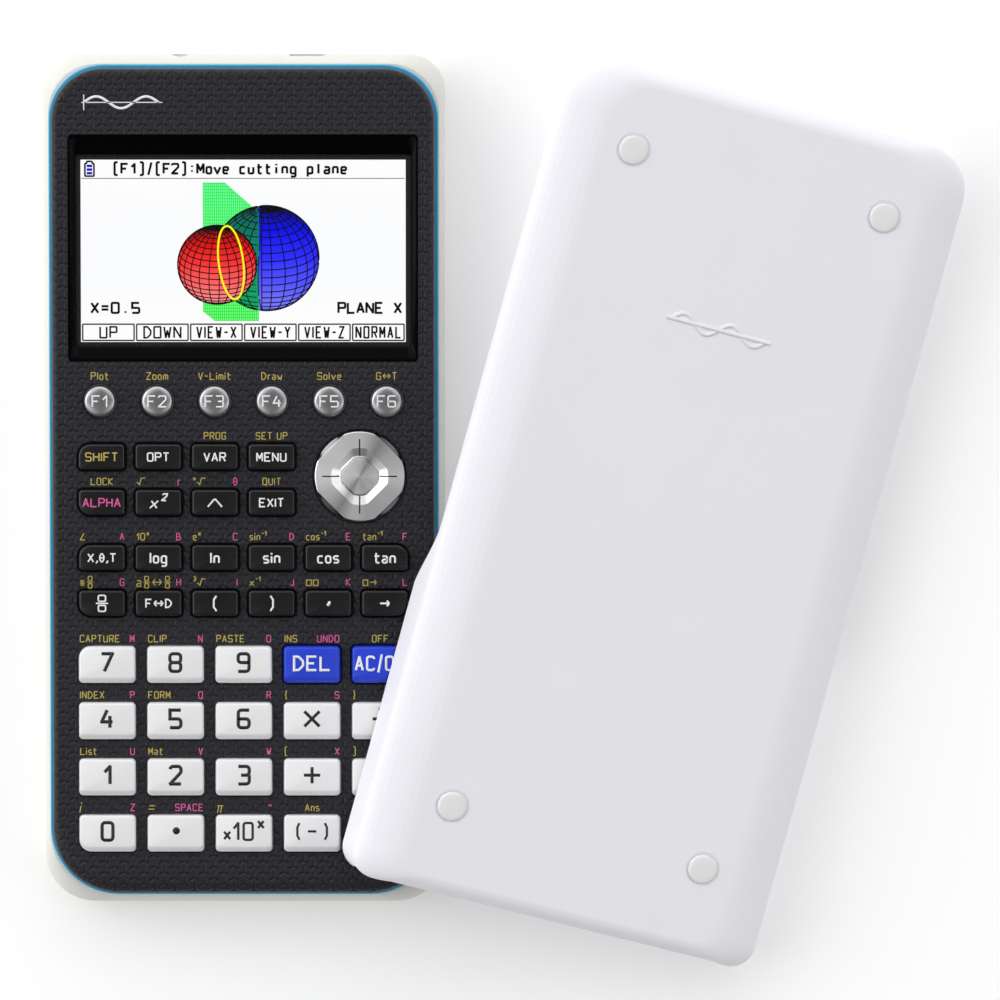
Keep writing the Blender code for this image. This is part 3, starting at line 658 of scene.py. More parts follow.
def pointed(line, weight):
    """Cuts a stroke at its square corners and where it doubles back, so they stay sharp."""
    spots, square = [Vector(line[0])], set()
    for spot in line[1:]:
        if (Vector(spot) - spots[-1]).length > 0.0:
            spots.append(Vector(spot))
        else:
            square.add(len(spots) - 1)
    parts, part = [], [spots[0]]
    for k in range(1, len(spots) - 1):
        come, leave = spots[k] - spots[k - 1], spots[k + 1] - spots[k]
        bend = come.angle(leave, 0.0)
        if bend > math.radians(100) or k in square:
            reach = weight * min(0.5, 0.707 * math.cos(bend / 2))
            parts.append(part + [spots[k] + come.normalized() * reach])
            part = [spots[k] - leave.normalized() * reach]
        else:
            part.append(spots[k])
    return [[tuple(spot) for spot in line] for line in parts + [part + [spots[-1]]]]


def pen_work(name, strokes, z, weight, ink, thickness=0.04 * mm, corner=0.0):
    """Draws strokes as thin flat ribbons of ink standing on level z."""
    points, edges = [], []
    for n, line in enumerate(part for stroke in strokes for part in pointed(stroke, weight)):
        closed = len(line) > 2 and line[0] == line[-1]
        line = line[:-1] if closed else line
        start = len(points)
        level = z + thickness / 2 + n % 4 * CROSSING
        points += [(px, py, level) for px, py in line]
        edges += [(start + k, start + k + 1) for k in range(len(line) - 1)]
        if closed:
            edges.append((len(points) - 1, start))
    return grow(points_object(name, points, edges), stroke_tree, Weight=weight,
                Thickness=thickness, Corner=corner or weight * 0.9, Ink=ink)


def ink(name, colour, dark):
    """Pad-printing ink: a thin even film, satin, a little mottled by the pad."""
    return moulded(name, colour, dark, 0.45, 0.15 * mm, 0.001 * mm, mottle=2 * mm)


# ------------------------------------------------------------------ colour display
# A lit liquid-crystal panel in a thin black frame, showing two gridded balls and a cutting
# plane on a white page.  Everything on it shines by itself, so each colour is a light.
LCD_W, LCD_L = 71.8 * mm, 40.3 * mm
LCD_X, LCD_Y = 0.0, WINDOW[2] - 0.1 * mm
lcd_low, lcd_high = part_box("lcd_module")
PAGE_Z = lcd_high.z - 0.30 * mm
FILM = 0.02 * mm                            # one layer of the picture above the next


def shades(ramp, stops):
    """Gives a colour ramp its stops, as pairs of spot and colour."""
    made = ramp.color_ramp.elements
    for k, (spot, colour) in enumerate(stops):
        stop = made[k] if k < 2 else made.new(spot)
        stop.position, stop.color = spot, colour
    return ramp.outputs[0]


def lit(name, colours, low=0.0, high=1.0, stripe=0.0, stripe_colour="#ffffff"):
    """Light from coloured display dots: hex colours from level low to high up the page, with
    upright stripes of another colour if a stripe pitch is given."""
    material, tree, shader = blank(name)
    place = add(tree, "ShaderNodeTexCoord").outputs["Object"]
    split = add(tree, "ShaderNodeSeparateXYZ", {0: place})
    level = add(tree, "ShaderNodeMapRange", {0: split.outputs["Y"], 1: low, 2: high})
    shown = shades(add(tree, "ShaderNodeValToRGB", {0: level}),
                   [(k / (len(colours) - 1), hex_colour(code)) for k, code in enumerate(colours)])
    if stripe:
        beat = add(tree, "ShaderNodeMath", {0: split.outputs["X"], 1: stripe},
                   operation="PINGPONG")
        dash = add(tree, "ShaderNodeMath", {0: split.outputs["Y"], 1: stripe * 1.6},
                   operation="PINGPONG")
        on = add(tree, "ShaderNodeMath", {0: beat, 1: stripe * 0.72}, operation="GREATER_THAN")
        off = add(tree, "ShaderNodeMath", {0: dash, 1: stripe * 0.5}, operation="GREATER_THAN")
        both = add(tree, "ShaderNodeMath", {0: on, 1: off}, operation="MULTIPLY")
        shown = add(tree, "ShaderNodeMix", {0: both, 6: shown, 7: hex_colour(stripe_colour)},
                    data_type="RGBA").outputs[2]
    plug(tree, shader, {"Base Color": (0.0, 0.0, 0.0, 1.0), "Roughness": 0.6,
                        "Specular IOR Level": 0.1, "Emission Strength": 1.06,
                        "Emission Color": shown})
    return material


def sheet(name, outline, level, material):
    """A flat film of lit dots, so thin that it is only a colour on the page."""
    z = PAGE_Z + level * FILM
    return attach(solid(name, [slab(outline, z - 0.015 * mm, z)], material), ROOT)


# matt black: the frame round the picture throws no light back
MASK_BLACK = moulded("mask_black_ink", "#060607", "#050506", 0.5, 0.3 * mm, 0.001 * mm)
frame_piece = solid("lcd_frame", [slab(
    ring(lcd_high.x - lcd_low.x, lcd_high.y - lcd_low.y, 0.8 * mm,
         y=(lcd_low.y + lcd_high.y) / 2), lcd_low.z, lcd_high.z)], MASK_BLACK)
carve(frame_piece, [solid("lcd_opening", [slab(
    ring(LCD_W, LCD_L, 0.1 * mm, LCD_X, LCD_Y), PAGE_Z - 0.25 * mm, lcd_high.z + 1 * mm)])])
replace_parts(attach(frame_piece, ROOT), "lcd_module")

sheet("page", ring(LCD_W - 0.05 * mm, LCD_L - 0.05 * mm, 0.1 * mm, LCD_X, LCD_Y), 0,
      lit("page_white", ("#ffffff", "#fcfdff", "#ffffff"), LCD_Y - LCD_L / 2, LCD_Y + LCD_L / 2))
BALL_BLUE = (5.1 * mm, LCD_Y - 1.6 * mm, 11.65 * mm)
BALL_RED = (-5.75 * mm, LCD_Y - 3.05 * mm, 8.75 * mm)
PLANE_RIGHT = 3.45 * mm
plane = [(x * mm, LCD_Y + y * mm) for x, y in (
    (-8.9, 15.1), (-8.9, -13.4), (-6.3, -15.5), (PLANE_RIGHT / mm, -15.5),
    (PLANE_RIGHT / mm, 8.5), (-4.0, 15.1))]
sheet("cutting_plane", plane, 1,
      lit("plane_green", ("#14f02c", "#10f24c", "#18f46a"), LCD_Y - 15 * mm, LCD_Y + 15 * mm,
          0.21 * mm, "#b9ffc6"))


def ball_outline(ball, left=None, right=None, steps=96):
    """A ball's outline, kept left or right of an upright line."""
    x, y, r = ball
    points = circle(r, x, y, steps)
    if right is not None:
        points = [(max(px, right), py) for px, py in points]
    if left is not None:
        points = [(min(px, left), py) for px, py in points]
    return points


for name, outline, level, colours, ball, stripe in (
        ("blue_ball", ball_outline(BALL_BLUE, right=PLANE_RIGHT), 2,
         ("#8080ff", "#5454ff", "#2c2cff", "#0c0cf0", "#04047c"), BALL_BLUE, 0.0),
        ("blue_ball_behind_plane", ball_outline(BALL_BLUE, left=PLANE_RIGHT), 3,
         ("#08b83c", "#06a644", "#048a40", "#046434"), BALL_BLUE, 0.24 * mm),
        ("red_ball", ball_outline(BALL_RED), 5,
         ("#ff9494", "#ff6464", "#fa3434", "#e01010", "#6c0404"), BALL_RED, 0.0)):
    sheet(name, outline, level,
          lit(name + "_light", colours, ball[1] - ball[2], ball[1] + ball[2], stripe, "#1440b4"))


def ball_grid(ball, turn, keep=lambda x: True):
    """Grid lines of a ball seen from a little above: meridians and parallels in front."""
    x0, y0, r = ball
    high, lines = math.radians(22), []

    def seen(lat, lon):
        x = math.cos(lat) * math.sin(lon)
        y, z = math.sin(lat), math.cos(lat) * math.cos(lon)
        return (x, y * math.cos(high) - z * math.sin(high),
                y * math.sin(high) + z * math.cos(high))

    paths = [[(math.radians(lat), math.radians(lon)) for lon in range(-180, 181, 6)]
             for lat in range(-81, 90, 9)]
    paths += [[(math.radians(lat), math.radians(lon + turn)) for lat in range(-90, 91, 6)]
              for lon in range(-180, 180, 15)]
    for path in paths:
        line = []
        for lat, lon in path:
            x, y, z = seen(lat, lon)
            if z > 0.0 and keep(x0 + r * x):
                line.append((x0 + r * x, y0 + r * y))
            else:
                lines.append(line)
                line = []
        lines.append(line)
    lines = [line for line in lines if len(line) > 1]
    return lines + [[(x, y) for x, y in circle(r, x0, y0, 72) if keep(x)]]


LCD_BLACK = lit("lit_black", ("#050505", "#080808"))
LCD_BLUE = lit("lit_blue", ("#1414d0", "#1818dc"))
LCD_YELLOW = lit("lit_yellow", ("#ffff10", "#fff800"))
in_front = ball_grid(BALL_BLUE, 6, lambda x: x > PLANE_RIGHT)
behind = ball_grid(BALL_BLUE, 6, lambda x: x <= PLANE_RIGHT)
for name, lines, level, weight, light in (
        ("blue_grid", in_front, 3, 0.24 * mm, LCD_BLACK),
        ("blue_grid_behind", behind, 4, 0.22 * mm, LCD_BLACK),
        ("red_grid", ball_grid(BALL_RED, 3), 6, 0.23 * mm, LCD_BLACK)):
    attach(pen_work(name, lines, PAGE_Z + level * FILM - 0.01 * mm, weight, light,
                     FILM, 0.01 * mm), ROOT)
cut = []
for k in range(49):
    a = math.tau * k / 48
    u, v, lean = 2.72 * mm * math.cos(a), 8.15 * mm * math.sin(a), math.radians(7)
    cut.append((-2.7 * mm + u * math.cos(lean) - v * math.sin(lean),
                LCD_Y - 2.6 * mm + u * math.sin(lean) + v * math.cos(lean)))
cut[-1] = cut[0]
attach(pen_work("cut_line", [cut], PAGE_Z + 0.13 * mm, 0.42 * mm, LCD_YELLOW, FILM,
                 0.01 * mm), ROOT)

page_text = (write("[F1]/[F2]:Move cutting plane", -28.6 * mm, LCD_Y + 18.15 * mm, 2.6 * mm, 0.0,
                   0.50 * mm, 0.98, pitch=1.86 * mm)
             + write("X=0.5", -33.6 * mm, LCD_Y - 12.6 * mm, 2.7 * mm, 0.0, 0.50 * mm, 1.05,
                     pitch=2.26 * mm)
             + write("PLANE X", 34.8 * mm, LCD_Y - 12.6 * mm, 2.7 * mm, 1.0, 0.50 * mm, 1.0,
                     pitch=2.06 * mm))
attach(pen_work("page_text", page_text, PAGE_Z + FILM, 0.52 * mm, LCD_BLACK, FILM,
                 0.25 * mm), ROOT)
rule = [[(-LCD_W / 2 + 0.2 * mm, LCD_Y + 16.0 * mm), (LCD_W / 2 - 0.2 * mm, LCD_Y + 16.0 * mm)]]
SOFT_W, SOFT_PITCH, SOFT_Y = 11.35 * mm, 11.93 * mm, LCD_Y - 18.0 * mm
soft_boxes, soft_text = [], []
for n, label in enumerate(("UP", "DOWN", "VIEW-X", "VIEW-Y", "VIEW-Z", "NORMAL")):
    x = (n - 2.5) * SOFT_PITCH
    w, h = SOFT_W / 2, 1.8 * mm
    soft_boxes.append([(x, SOFT_Y - h), (x + w, SOFT_Y - h), (x + w, SOFT_Y + h),
                       (x - w, SOFT_Y + h), (x - w, SOFT_Y - h), (x, SOFT_Y - h)])
    soft_text += write(label, x, SOFT_Y, 2.75 * mm, 0.5, 0.34 * mm,
                       0.62 if len(label) > 4 else 0.9)
icon = (-LCD_W / 2 + 2.0 * mm, LCD_Y + 18.1 * mm)
cell_icon = [[(icon[0] + x * mm, icon[1] + y * mm) for x, y in (
    (0.0, -1.6), (1.0, -1.6), (1.0, 1.2), (0.6, 1.2), (0.6, 1.65), (-0.6, 1.65), (-0.6, 1.2),
    (-1.0, 1.2), (-1.0, -1.6), (0.0, -1.6))]]
bars = [[(icon[0] - 0.62 * mm, icon[1] + y * mm), (icon[0] + 0.62 * mm, icon[1] + y * mm)]
        for y in (-0.95, -0.15, 0.65)]
for name, lines, weight, light in (
        ("page_rule", rule, 0.15 * mm, LCD_BLACK),
        ("soft_key_boxes", soft_boxes, 0.32 * mm, LCD_BLACK),
        ("soft_key_text", soft_text, 0.40 * mm, LCD_BLACK),
        ("cell_icon", cell_icon, 0.4 * mm, LCD_BLACK),
        ("cell_icon_bars", bars, 0.58 * mm, LCD_BLUE)):
    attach(pen_work(name, lines, PAGE_Z + FILM, weight, light, FILM, 0.15 * mm), ROOT)

# ------------------------------------------------------------------ keys
# Each key is one ABS cap on a collar that keeps it behind the panel, with its sign printed on
# top.  Twenty small black ones, eighteen white and two blue with a sloping front edge, and six
# round ones sprayed metallic grey.
KEY_PRINT = {colour: ink(colour + "_print", *codes) for colour, codes in {
    "white": ("#f2f2f2", "#e9e9ea"), "gold": ("#b9a84f", "#ad9c45"),
    "pink": ("#d9569a", "#cc4c8e"), "black": ("#141416", "#101012")}.items()}
# gloss ABS, dyed through: a polished tool leaves soft-box edges along every rounded rim
KEY_BLACK = moulded("gloss_black_abs", "#101011", "#0c0c0d", 0.27, 0.3 * mm, 0.002 * mm)
KEY_WHITE = moulded("gloss_white_abs", "#f3f3f3", "#ececee", 0.30, 0.4 * mm, 0.002 * mm)
KEY_BLUE = moulded("gloss_blue_abs", "#2445d6", "#1f3ecb", 0.30, 0.4 * mm, 0.002 * mm)
# metallic lacquer: grey base with fine flakes under a clear coat
KEY_GREY = metal("metallic_grey_lacquer", "#b2b3b5", 0.28, 0.12 * mm, 0.003 * mm)
SMALL_KEYS = set("shift option vars menu alpha square power exit variable log ln sin cos tan "
                 "fraction convert paren_open paren_close comma store".split())
# how far each level of a cap's rim stands in and lies below its top, in mm
ROUND_RIM = ((0.0, 0.95), (0.03, 0.70), (0.12, 0.48), (0.30, 0.30), (0.65, 0.17), (1.3, 0.07),
             (2.2, 0.0))
SMALL_RIM = ((0.0, 0.60), (0.03, 0.42), (0.10, 0.26), (0.22, 0.12), (0.36, 0.03), (0.50, 0.0))
LARGE_RIM = ((0.0, 0.95), (0.03, 0.80), (0.08, 0.62), (0.15, 0.36), (0.24, 0.16), (0.36, 0.05),
             (0.52, 0.0))
COLLAR_T = 0.5 * mm
SUNK = 0.01 * mm                            # how deep print reaches into what it is on
# the signs that are not in the plain size of their group: height and line in mm, width, slant
SIGN_SIZES = {key: size for keys, size in {
    "clear": (3.5, 0.52, 0.78, 0.0), "paren_open paren_close": (2.9, 0.40, 1.4, 0.0),
    "square": (2.7, 0.34, 0.95, 0.22), "power": (3.1, 0.36, 0.85, 0.0),
    "log ln sin cos tan": (2.6, 0.40, 0.95, 0.0), "fraction": (3.0, 0.34, 1.2, 0.0),
    "exponent": (4.3, 0.54, 0.80, 0.0), "negate": (3.3, 0.50, 1.0, 0.0),
    "execute": (3.1, 0.48, 1.0, 0.0), "point": (2.4, 0.85, 1.0, 0.0),
    "comma": (3.4, 0.60, 1.0, 0.0), "store": (2.2, 0.42, 1.0, 0.0),
    "times divide": (5.7, 0.68, 1.0, 0.0), "plus minus": (6.1, 0.68, 1.0, 0.0),
}.items() for key in keys.split()}


def cap_layers(key):
    """A key's levels from its collar to its top, with a rounded rim."""
    z0, z1 = key_place(key)[4:]
    layers = slab(key_outline(key, COLLAR), z0, z0 + COLLAR_T)
    layers.append((key_outline(key), z0 + COLLAR_T))
    rim = ROUND_RIM if key in ROUND_KEYS else SMALL_RIM if key in SMALL_KEYS else LARGE_RIM
    slope = 0.80 * mm if rim is LARGE_RIM else 0.0
    reach = rim[0][1]
    for step, drop in rim:
        lift = slope * (1 - drop / reach) ** 0.8 if drop > 0.05 else slope
        layers.append((key_outline(key, -step * mm, lift), z1 - drop * mm))
    return layers


def join(obj, other):
    """Adds another object's faces and material to obj."""
    bm = bmesh.new()
    bm.from_mesh(obj.data)
    count, shift = len(bm.faces), len(obj.data.materials)
    bm.from_mesh(other.data)
    bm.faces.ensure_lookup_table()
    for face in bm.faces[count:]:
        face.material_index = shift
    bm.to_mesh(obj.data)
    bm.free()
    obj.data.materials.append(other.data.materials[0])
    bpy.data.objects.remove(other)
    return obj


for key, (sign, _, _) in KEYS.items():
    x, y, _, _, _, top = key_place(key)
    colour, stretch = "white", 1.0
    if key in ROUND_KEYS:
        plastic, slot, height, weight = KEY_GREY, "key_grey", 2.75, 0.36
    elif key in SMALL_KEYS:
        plastic, slot, height, weight = KEY_BLACK, "key_black", 2.1, 0.33
        colour = {"shift": "gold", "alpha": "pink"}.get(key, "white")
    elif key in ("delete", "clear"):
        plastic, slot, height, weight = KEY_BLUE, "key_blue", 3.5, 0.52
        y += 0.3 * mm
    else:
        plastic, slot, height, weight = KEY_WHITE, "key_white", 4.65, 0.74
        colour, stretch = "black", 0.92 if key.isdigit() else 1.0
        y += 0.5 * mm
    height, weight, stretch, lean = SIGN_SIZES.get(key, (height, weight, stretch, 0.0))
    height, weight = height * mm, weight * mm
    cap = solid("cap_" + key, [cap_layers(key)], plastic, crease=50)
    signs = pen_work("sign_" + key, write(sign, x, y, height, 0.5, weight, stretch, lean),
                     top - SUNK, weight, KEY_PRINT[colour])
    join(cap, signs)
    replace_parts(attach(cap, "press_" + key), "key_" + key)

# ------------------------------------------------------------------ prints on the panel
# Second and third functions, pad-printed on the panel above the keys in gold and in pink,
# and a small plain mark, a wave on two axes, in the upper left corner.
LABEL_H, LABEL_PEN = 1.7 * mm, 0.23 * mm
gold, pink = [], []
for key, (_, second, third) in KEYS.items():
    x, y, w, h, _, _ = key_place(key)
    if key in ROUND_KEYS:
        gold += write(second, x, y + w / 2 + 2.1 * mm, 1.75 * mm, 0.5, 0.22 * mm, 0.9)
        continue
    above = y + h / 2 + (1.72 if key in SMALL_KEYS or h < 7 * mm else 1.60) * mm
    lone = not third
    size, lean = (2.5 * mm, 0.2) if second in ("i", "=", "π") else (LABEL_H, 0.0)
    size = 2.2 * mm if "▤" in second else size
    gold += write(second, x if lone else x - w / 2 + 0.3 * mm, above, size,
                  0.5 if lone else 0.0, LABEL_PEN, 0.85, lean)
    pink += write(third, x + w / 2 - 0.3 * mm, above, 2.0 * mm if third in ("r", "θ") else LABEL_H,
                  1.0, LABEL_PEN, 0.85)
MARK_X, MARK_Y = -35.0 * mm, 83.8 * mm
wave = [(MARK_X + 16.5 * mm * k / 40, MARK_Y + 1.3 * mm * math.sin(math.tau * 1.5 * k / 40))
        for k in range(41)]
axes = [[(MARK_X - 0.5 * mm, MARK_Y), (MARK_X + 17.3 * mm, MARK_Y)],
        [(MARK_X, MARK_Y - 1.7 * mm), (MARK_X, MARK_Y + 1.7 * mm)]]
for name, lines, weight, colour in (
        ("gold_labels", gold, LABEL_PEN, "gold"), ("pink_labels", pink, LABEL_PEN, "pink"),
        ("panel_mark_wave", [wave], 0.55 * mm, "white"),
        ("panel_mark_axes", axes, 0.22 * mm, "white")):
    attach(pen_work(name, lines, TOP_Z - SUNK, weight, KEY_PRINT[colour]), ROOT)

# ------------------------------------------------------------------ cursor disc
# A die-cast disc, machine-turned and satin-plated.  Its rim is cut flat at the four diagonals,
# a dished ring surrounds the middle button, and four fine lines mark the directions.
DISC_LOW, DISC_TOP = DISC[0].z, DISC[1].z


def clipped(radius, flat, turn=45.0, steps=128):
    """A circle cut flat on four sides at the given distance from its middle."""
    points = []
    for k in range(steps):
        a = math.tau * k / steps
        off = (math.degrees(a) - turn + 45) % 90 - 45
        r = min(radius, flat / math.cos(math.radians(off)))
        points.append((DISC_X + r * math.cos(a), DISC_Y + r * math.sin(a)))
    return points


def spun_metal_painted_rays(name, colour, roughness):
    """Satin-plated metal with turning marks: rings round the disc's middle, too fine to
    count, that draw each highlight out into a ray; marks drawn at 0.15 mm to show at all.
    The rays are also painted into the colour as painted highlights and painted shade, lighter
    and darker by angle round the middle, and the slants outside the four flats are painted darker."""
    material, tree, shader = blank(name)
    place = add(tree, "ShaderNodeTexCoord").outputs["Object"]
    centred = add(tree, "ShaderNodeVectorMath", {0: place, 1: (DISC_X, DISC_Y, 0.0)},
                  operation="SUBTRACT")
    flat = add(tree, "ShaderNodeVectorMath", {0: centred, 1: (1, 1, 0)}, operation="MULTIPLY")
    radius = add(tree, "ShaderNodeVectorMath", {0: flat}, operation="LENGTH").outputs["Value"]
    rings = add(tree, "ShaderNodeTexNoise", {"W": radius, "Scale": 1 / (0.15 * mm), "Detail": 2.0},
                noise_dimensions="1D")
    around = add(tree, "ShaderNodeTexGradient", {0: flat}, gradient_type="RADIAL")
    # painted highlights and painted shade: greys by angle round the middle, for rays of reflection
    painted_ray_greys = ((0.0, 1.00), (0.08, 0.86), (0.16, 0.36), (0.22, 0.62), (0.28, 0.55), (0.38, 0.92),
             (0.5, 1.00), (0.60, 0.72), (0.66, 0.40), (0.74, 0.80), (0.88, 1.00), (1.0, 1.00))
    painted_rays = shades(add(tree, "ShaderNodeValToRGB", {0: around.outputs["Fac"]}),
                  [(spot, (grey, grey, grey, 1.0)) for spot, grey in painted_ray_greys])
    tint = add(tree, "ShaderNodeMix", {0: 1.0, 6: painted_rays, 7: hex_colour(colour)},
               data_type="RGBA", blend_type="MULTIPLY")
    # painted shade: beyond the four flats the colour is scaled down to 0.30
    slants = [add(tree, "ShaderNodeMath", {0: add(tree, "ShaderNodeVectorMath", {
        0: flat, 1: (0.7071, side * 0.7071, 0.0)}, operation="DOT_PRODUCT").outputs["Value"]},
        operation="ABSOLUTE") for side in (-1, 1)]
    slant = add(tree, "ShaderNodeMath", {0: slants[0], 1: slants[1]}, operation="MAXIMUM")
    painted_slant_shade = add(tree, "ShaderNodeMapRange", {0: slant, 1: 9.00 * mm, 2: 9.06 * mm, 3: 1.0,
                                              4: 0.30})
    tint = add(tree, "ShaderNodeVectorMath", {0: tint.outputs[2], "Scale": painted_slant_shade},
               operation="SCALE")
    gloss = add(tree, "ShaderNodeMapRange", {0: rings, 3: roughness - 0.06, 4: roughness + 0.06})
    relief = add(tree, "ShaderNodeBump", {"Height": rings, "Distance": 0.004 * mm,
                                          "Strength": 1.0})
    tangent = add(tree, "ShaderNodeVectorMath", {0: centred, 1: (0.0, 0.0, 1.0)},
                  operation="CROSS_PRODUCT")
    plug(tree, shader, {"Metallic": 1.0, "Anisotropic": 0.75, "Base Color": tint.outputs[0],
                        "Roughness": gloss, "Normal": relief, "Tangent": tangent.outputs[0]})
    return material


SPUN_PAINTED_RAYS = spun_metal_painted_rays("satin_spun_plating_painted_rays", "#fcfcfc", 0.33)
DISC_CREASE = 24
# radius, distance to the flats and drop of each level: rim, face, dished ring, groove, button
face_levels = [(clipped(radius, flat * mm), DISC_TOP - drop * mm) for radius, flat, drop in (
    (DISC_R - 0.08 * mm, 9.90, 1.02), (DISC_R - 0.12 * mm, 9.05, 0.55),
    (DISC_R - 0.30 * mm, 8.92, 0.42), (6.30 * mm, 5.52, 0.10), (6.20 * mm, 5.42, 0.14),
    (4.26 * mm, 3.80, 0.95), (4.22 * mm, 3.76, 1.35), (4.03 * mm, 3.57, 1.35),
    (4.00 * mm, 3.54, 0.45), (3.95 * mm, 3.49, 0.40), (0.05 * mm, 0.05, 0.0))]
disc = solid("cursor_disc", [
    slab(circle(DISC_R, DISC_X, DISC_Y, 128), DISC_LOW, DISC_TOP - 1.20 * mm) + face_levels],
    SPUN_PAINTED_RAYS, crease=DISC_CREASE)
LINE_L, LINE_W, LINE_AT, LINE_DEPTH = 3.9 * mm, 0.30 * mm, 6.35 * mm, 1.0 * mm
carve(disc, [solid("direction_lines", [
    slab(ring(*size, 0.1 * mm, DISC_X + dx, DISC_Y + dy, 2), DISC_TOP - LINE_DEPTH,
         DISC_TOP + 1 * mm)
    for dx, dy, size in ((LINE_AT, 0.0, (LINE_L, LINE_W)), (-LINE_AT, 0.0, (LINE_L, LINE_W)),
                         (0.0, LINE_AT, (LINE_W, LINE_L)), (0.0, -LINE_AT, (LINE_W, LINE_L)))])],
    crease=DISC_CREASE)
# painted shade: a strip of black ink lies at the bottom of each direction line, for the shade in
# the deep groove
groove_shade_spokes = [[(DISC_X + 4.5 * mm * dx, DISC_Y + 4.5 * mm * dy),
           (DISC_X + 8.2 * mm * dx, DISC_Y + 8.2 * mm * dy)]
          for dx, dy in ((1, 0), (0, 1), (-1, 0), (0, -1))]
join(disc, pen_work("line_fill", groove_shade_spokes, DISC_TOP - LINE_DEPTH, 0.29 * mm, KEY_PRINT["black"],
                    0.45 * mm))
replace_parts(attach(disc, "rocker"), "rocker_disc")

# ------------------------------------------------------------------ inner pieces
# What the closed case holds: the glass-fibre circuit board, the silicone key mat and the
# acetal ball seat under the cursor disc.  They keep their plain shapes and get real finishes.
# solder mask over woven glass: green, glossy, faintly mottled
SOLDER_GREEN = moulded("green_solder_mask", "#1c6b3a", "#175c31", 0.3, 0.8 * mm, 0.01 * mm)
# silicone: soft, dull, light grey
MAT_GREY = moulded("grey_silicone", "#b4b5b8", "#a9aaad", 0.7, 0.5 * mm, 0.01 * mm)
# acetal: waxy dark plastic
ACETAL = moulded("dark_acetal", "#2b2c2f", "#232427", 0.45, 0.4 * mm, 0.004 * mm)
for name, finish in (("circuit_board", SOLDER_GREEN), ("key_mat", MAT_GREY),
                     ("rocker_pivot", ACETAL)):
    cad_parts[name].data.materials.clear()
    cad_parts[name].data.materials.append(finish)

# ------------------------------------------------------------------ slide cover
# The hard cover, one thin shell of white ABS.  Its long sides fall away to deep walls with a
# lip inside that runs in the case grooves; the end towards the keys is an open mouth.
KEY_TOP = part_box("key_5")[1].z
PLAY, SHELL_WALL, SHELL_TOP, FLARE = 1.0 * mm, 1.7 * mm, 1.8 * mm, 0.3 * mm
COVER_W, COVER_L = CASE_W + 2 * (PLAY + SHELL_WALL), CASE_L - 0.5 * mm
DEEP = SHELL_TOP + 0.4 * mm + KEY_TOP - RAIL_Z - 0.2 * mm
SHALLOW = DEEP * 0.40
LIP = RAIL_DEPTH + PLAY - 0.4 * mm
RIM_HIGH, RIM_LOW = COVER_W / 2 - SHELL_WALL - LIP, COVER_W / 2 + FLARE
ROLL = math.asin((KEY_TOP + GAP) / (RIM_LOW + RIM_HIGH))
COVER_Z = RIM_LOW * math.sin(ROLL) + DEEP * math.cos(ROLL)
FOOT_D = 6.5 * mm
FOOT_PLACES = [(side * COVER_W * 0.3110, COVER_L * along)
               for side in (-1, 1) for along in (0.4033, -0.3927)]
lay_down = (Matrix.Translation((CASE_W * 1.0503, CASE_L * -0.0372, COVER_Z))
            @ Matrix.Rotation(math.radians(-15.4), 4, "Z") @ Matrix.Rotation(ROLL, 4, "Y"))


def shell_ring(side, end, corner, drop):
    """One level of the shell: drawn in at the sides and ends, drop below its face (in mm)."""
    low, up = corner * 0.55 * mm, corner * 1.05 * mm
    return (ring(COVER_W - 2 * side * mm, COVER_L - 2 * end * mm, (low, up, up, low), steps=12),
            -drop * mm)


# ABS with a fine satin grain: soft, wide highlights and slow shading over the curved sides
COVER_WHITE = moulded("satin_white_abs", "#f5f4fa", "#f1f0f6", 0.74, 0.3 * mm, 0.006 * mm, 25 * mm,
                      ior=1.38)
deep = DEEP / mm
outer = ((-FLARE / mm, 0.0, 10.0, deep), (0.0, 0.0, 10.0, 5.4), (0.12, 0.03, 10.0, 4.5),
         (0.42, 0.10, 9.9, 3.75), (0.95, 0.20, 9.8, 3.1), (1.8, 0.38, 9.6, 2.5),
         (3.0, 0.70, 9.4, 1.9), (4.6, 1.15, 9.1, 1.3), (6.4, 1.75, 8.9, 0.75),
         (8.2, 2.4, 8.7, 0.32), (9.8, 3.1, 8.5, 0.08), (11.2, 3.8, 8.3, 0.0))
cover = solid("slide_cover_shell", [[shell_ring(*level) for level in outer]], COVER_WHITE,
              lay_down)
wall, lip = SHELL_WALL / mm, LIP / mm
inner = COVER_W / 2 / mm - wall
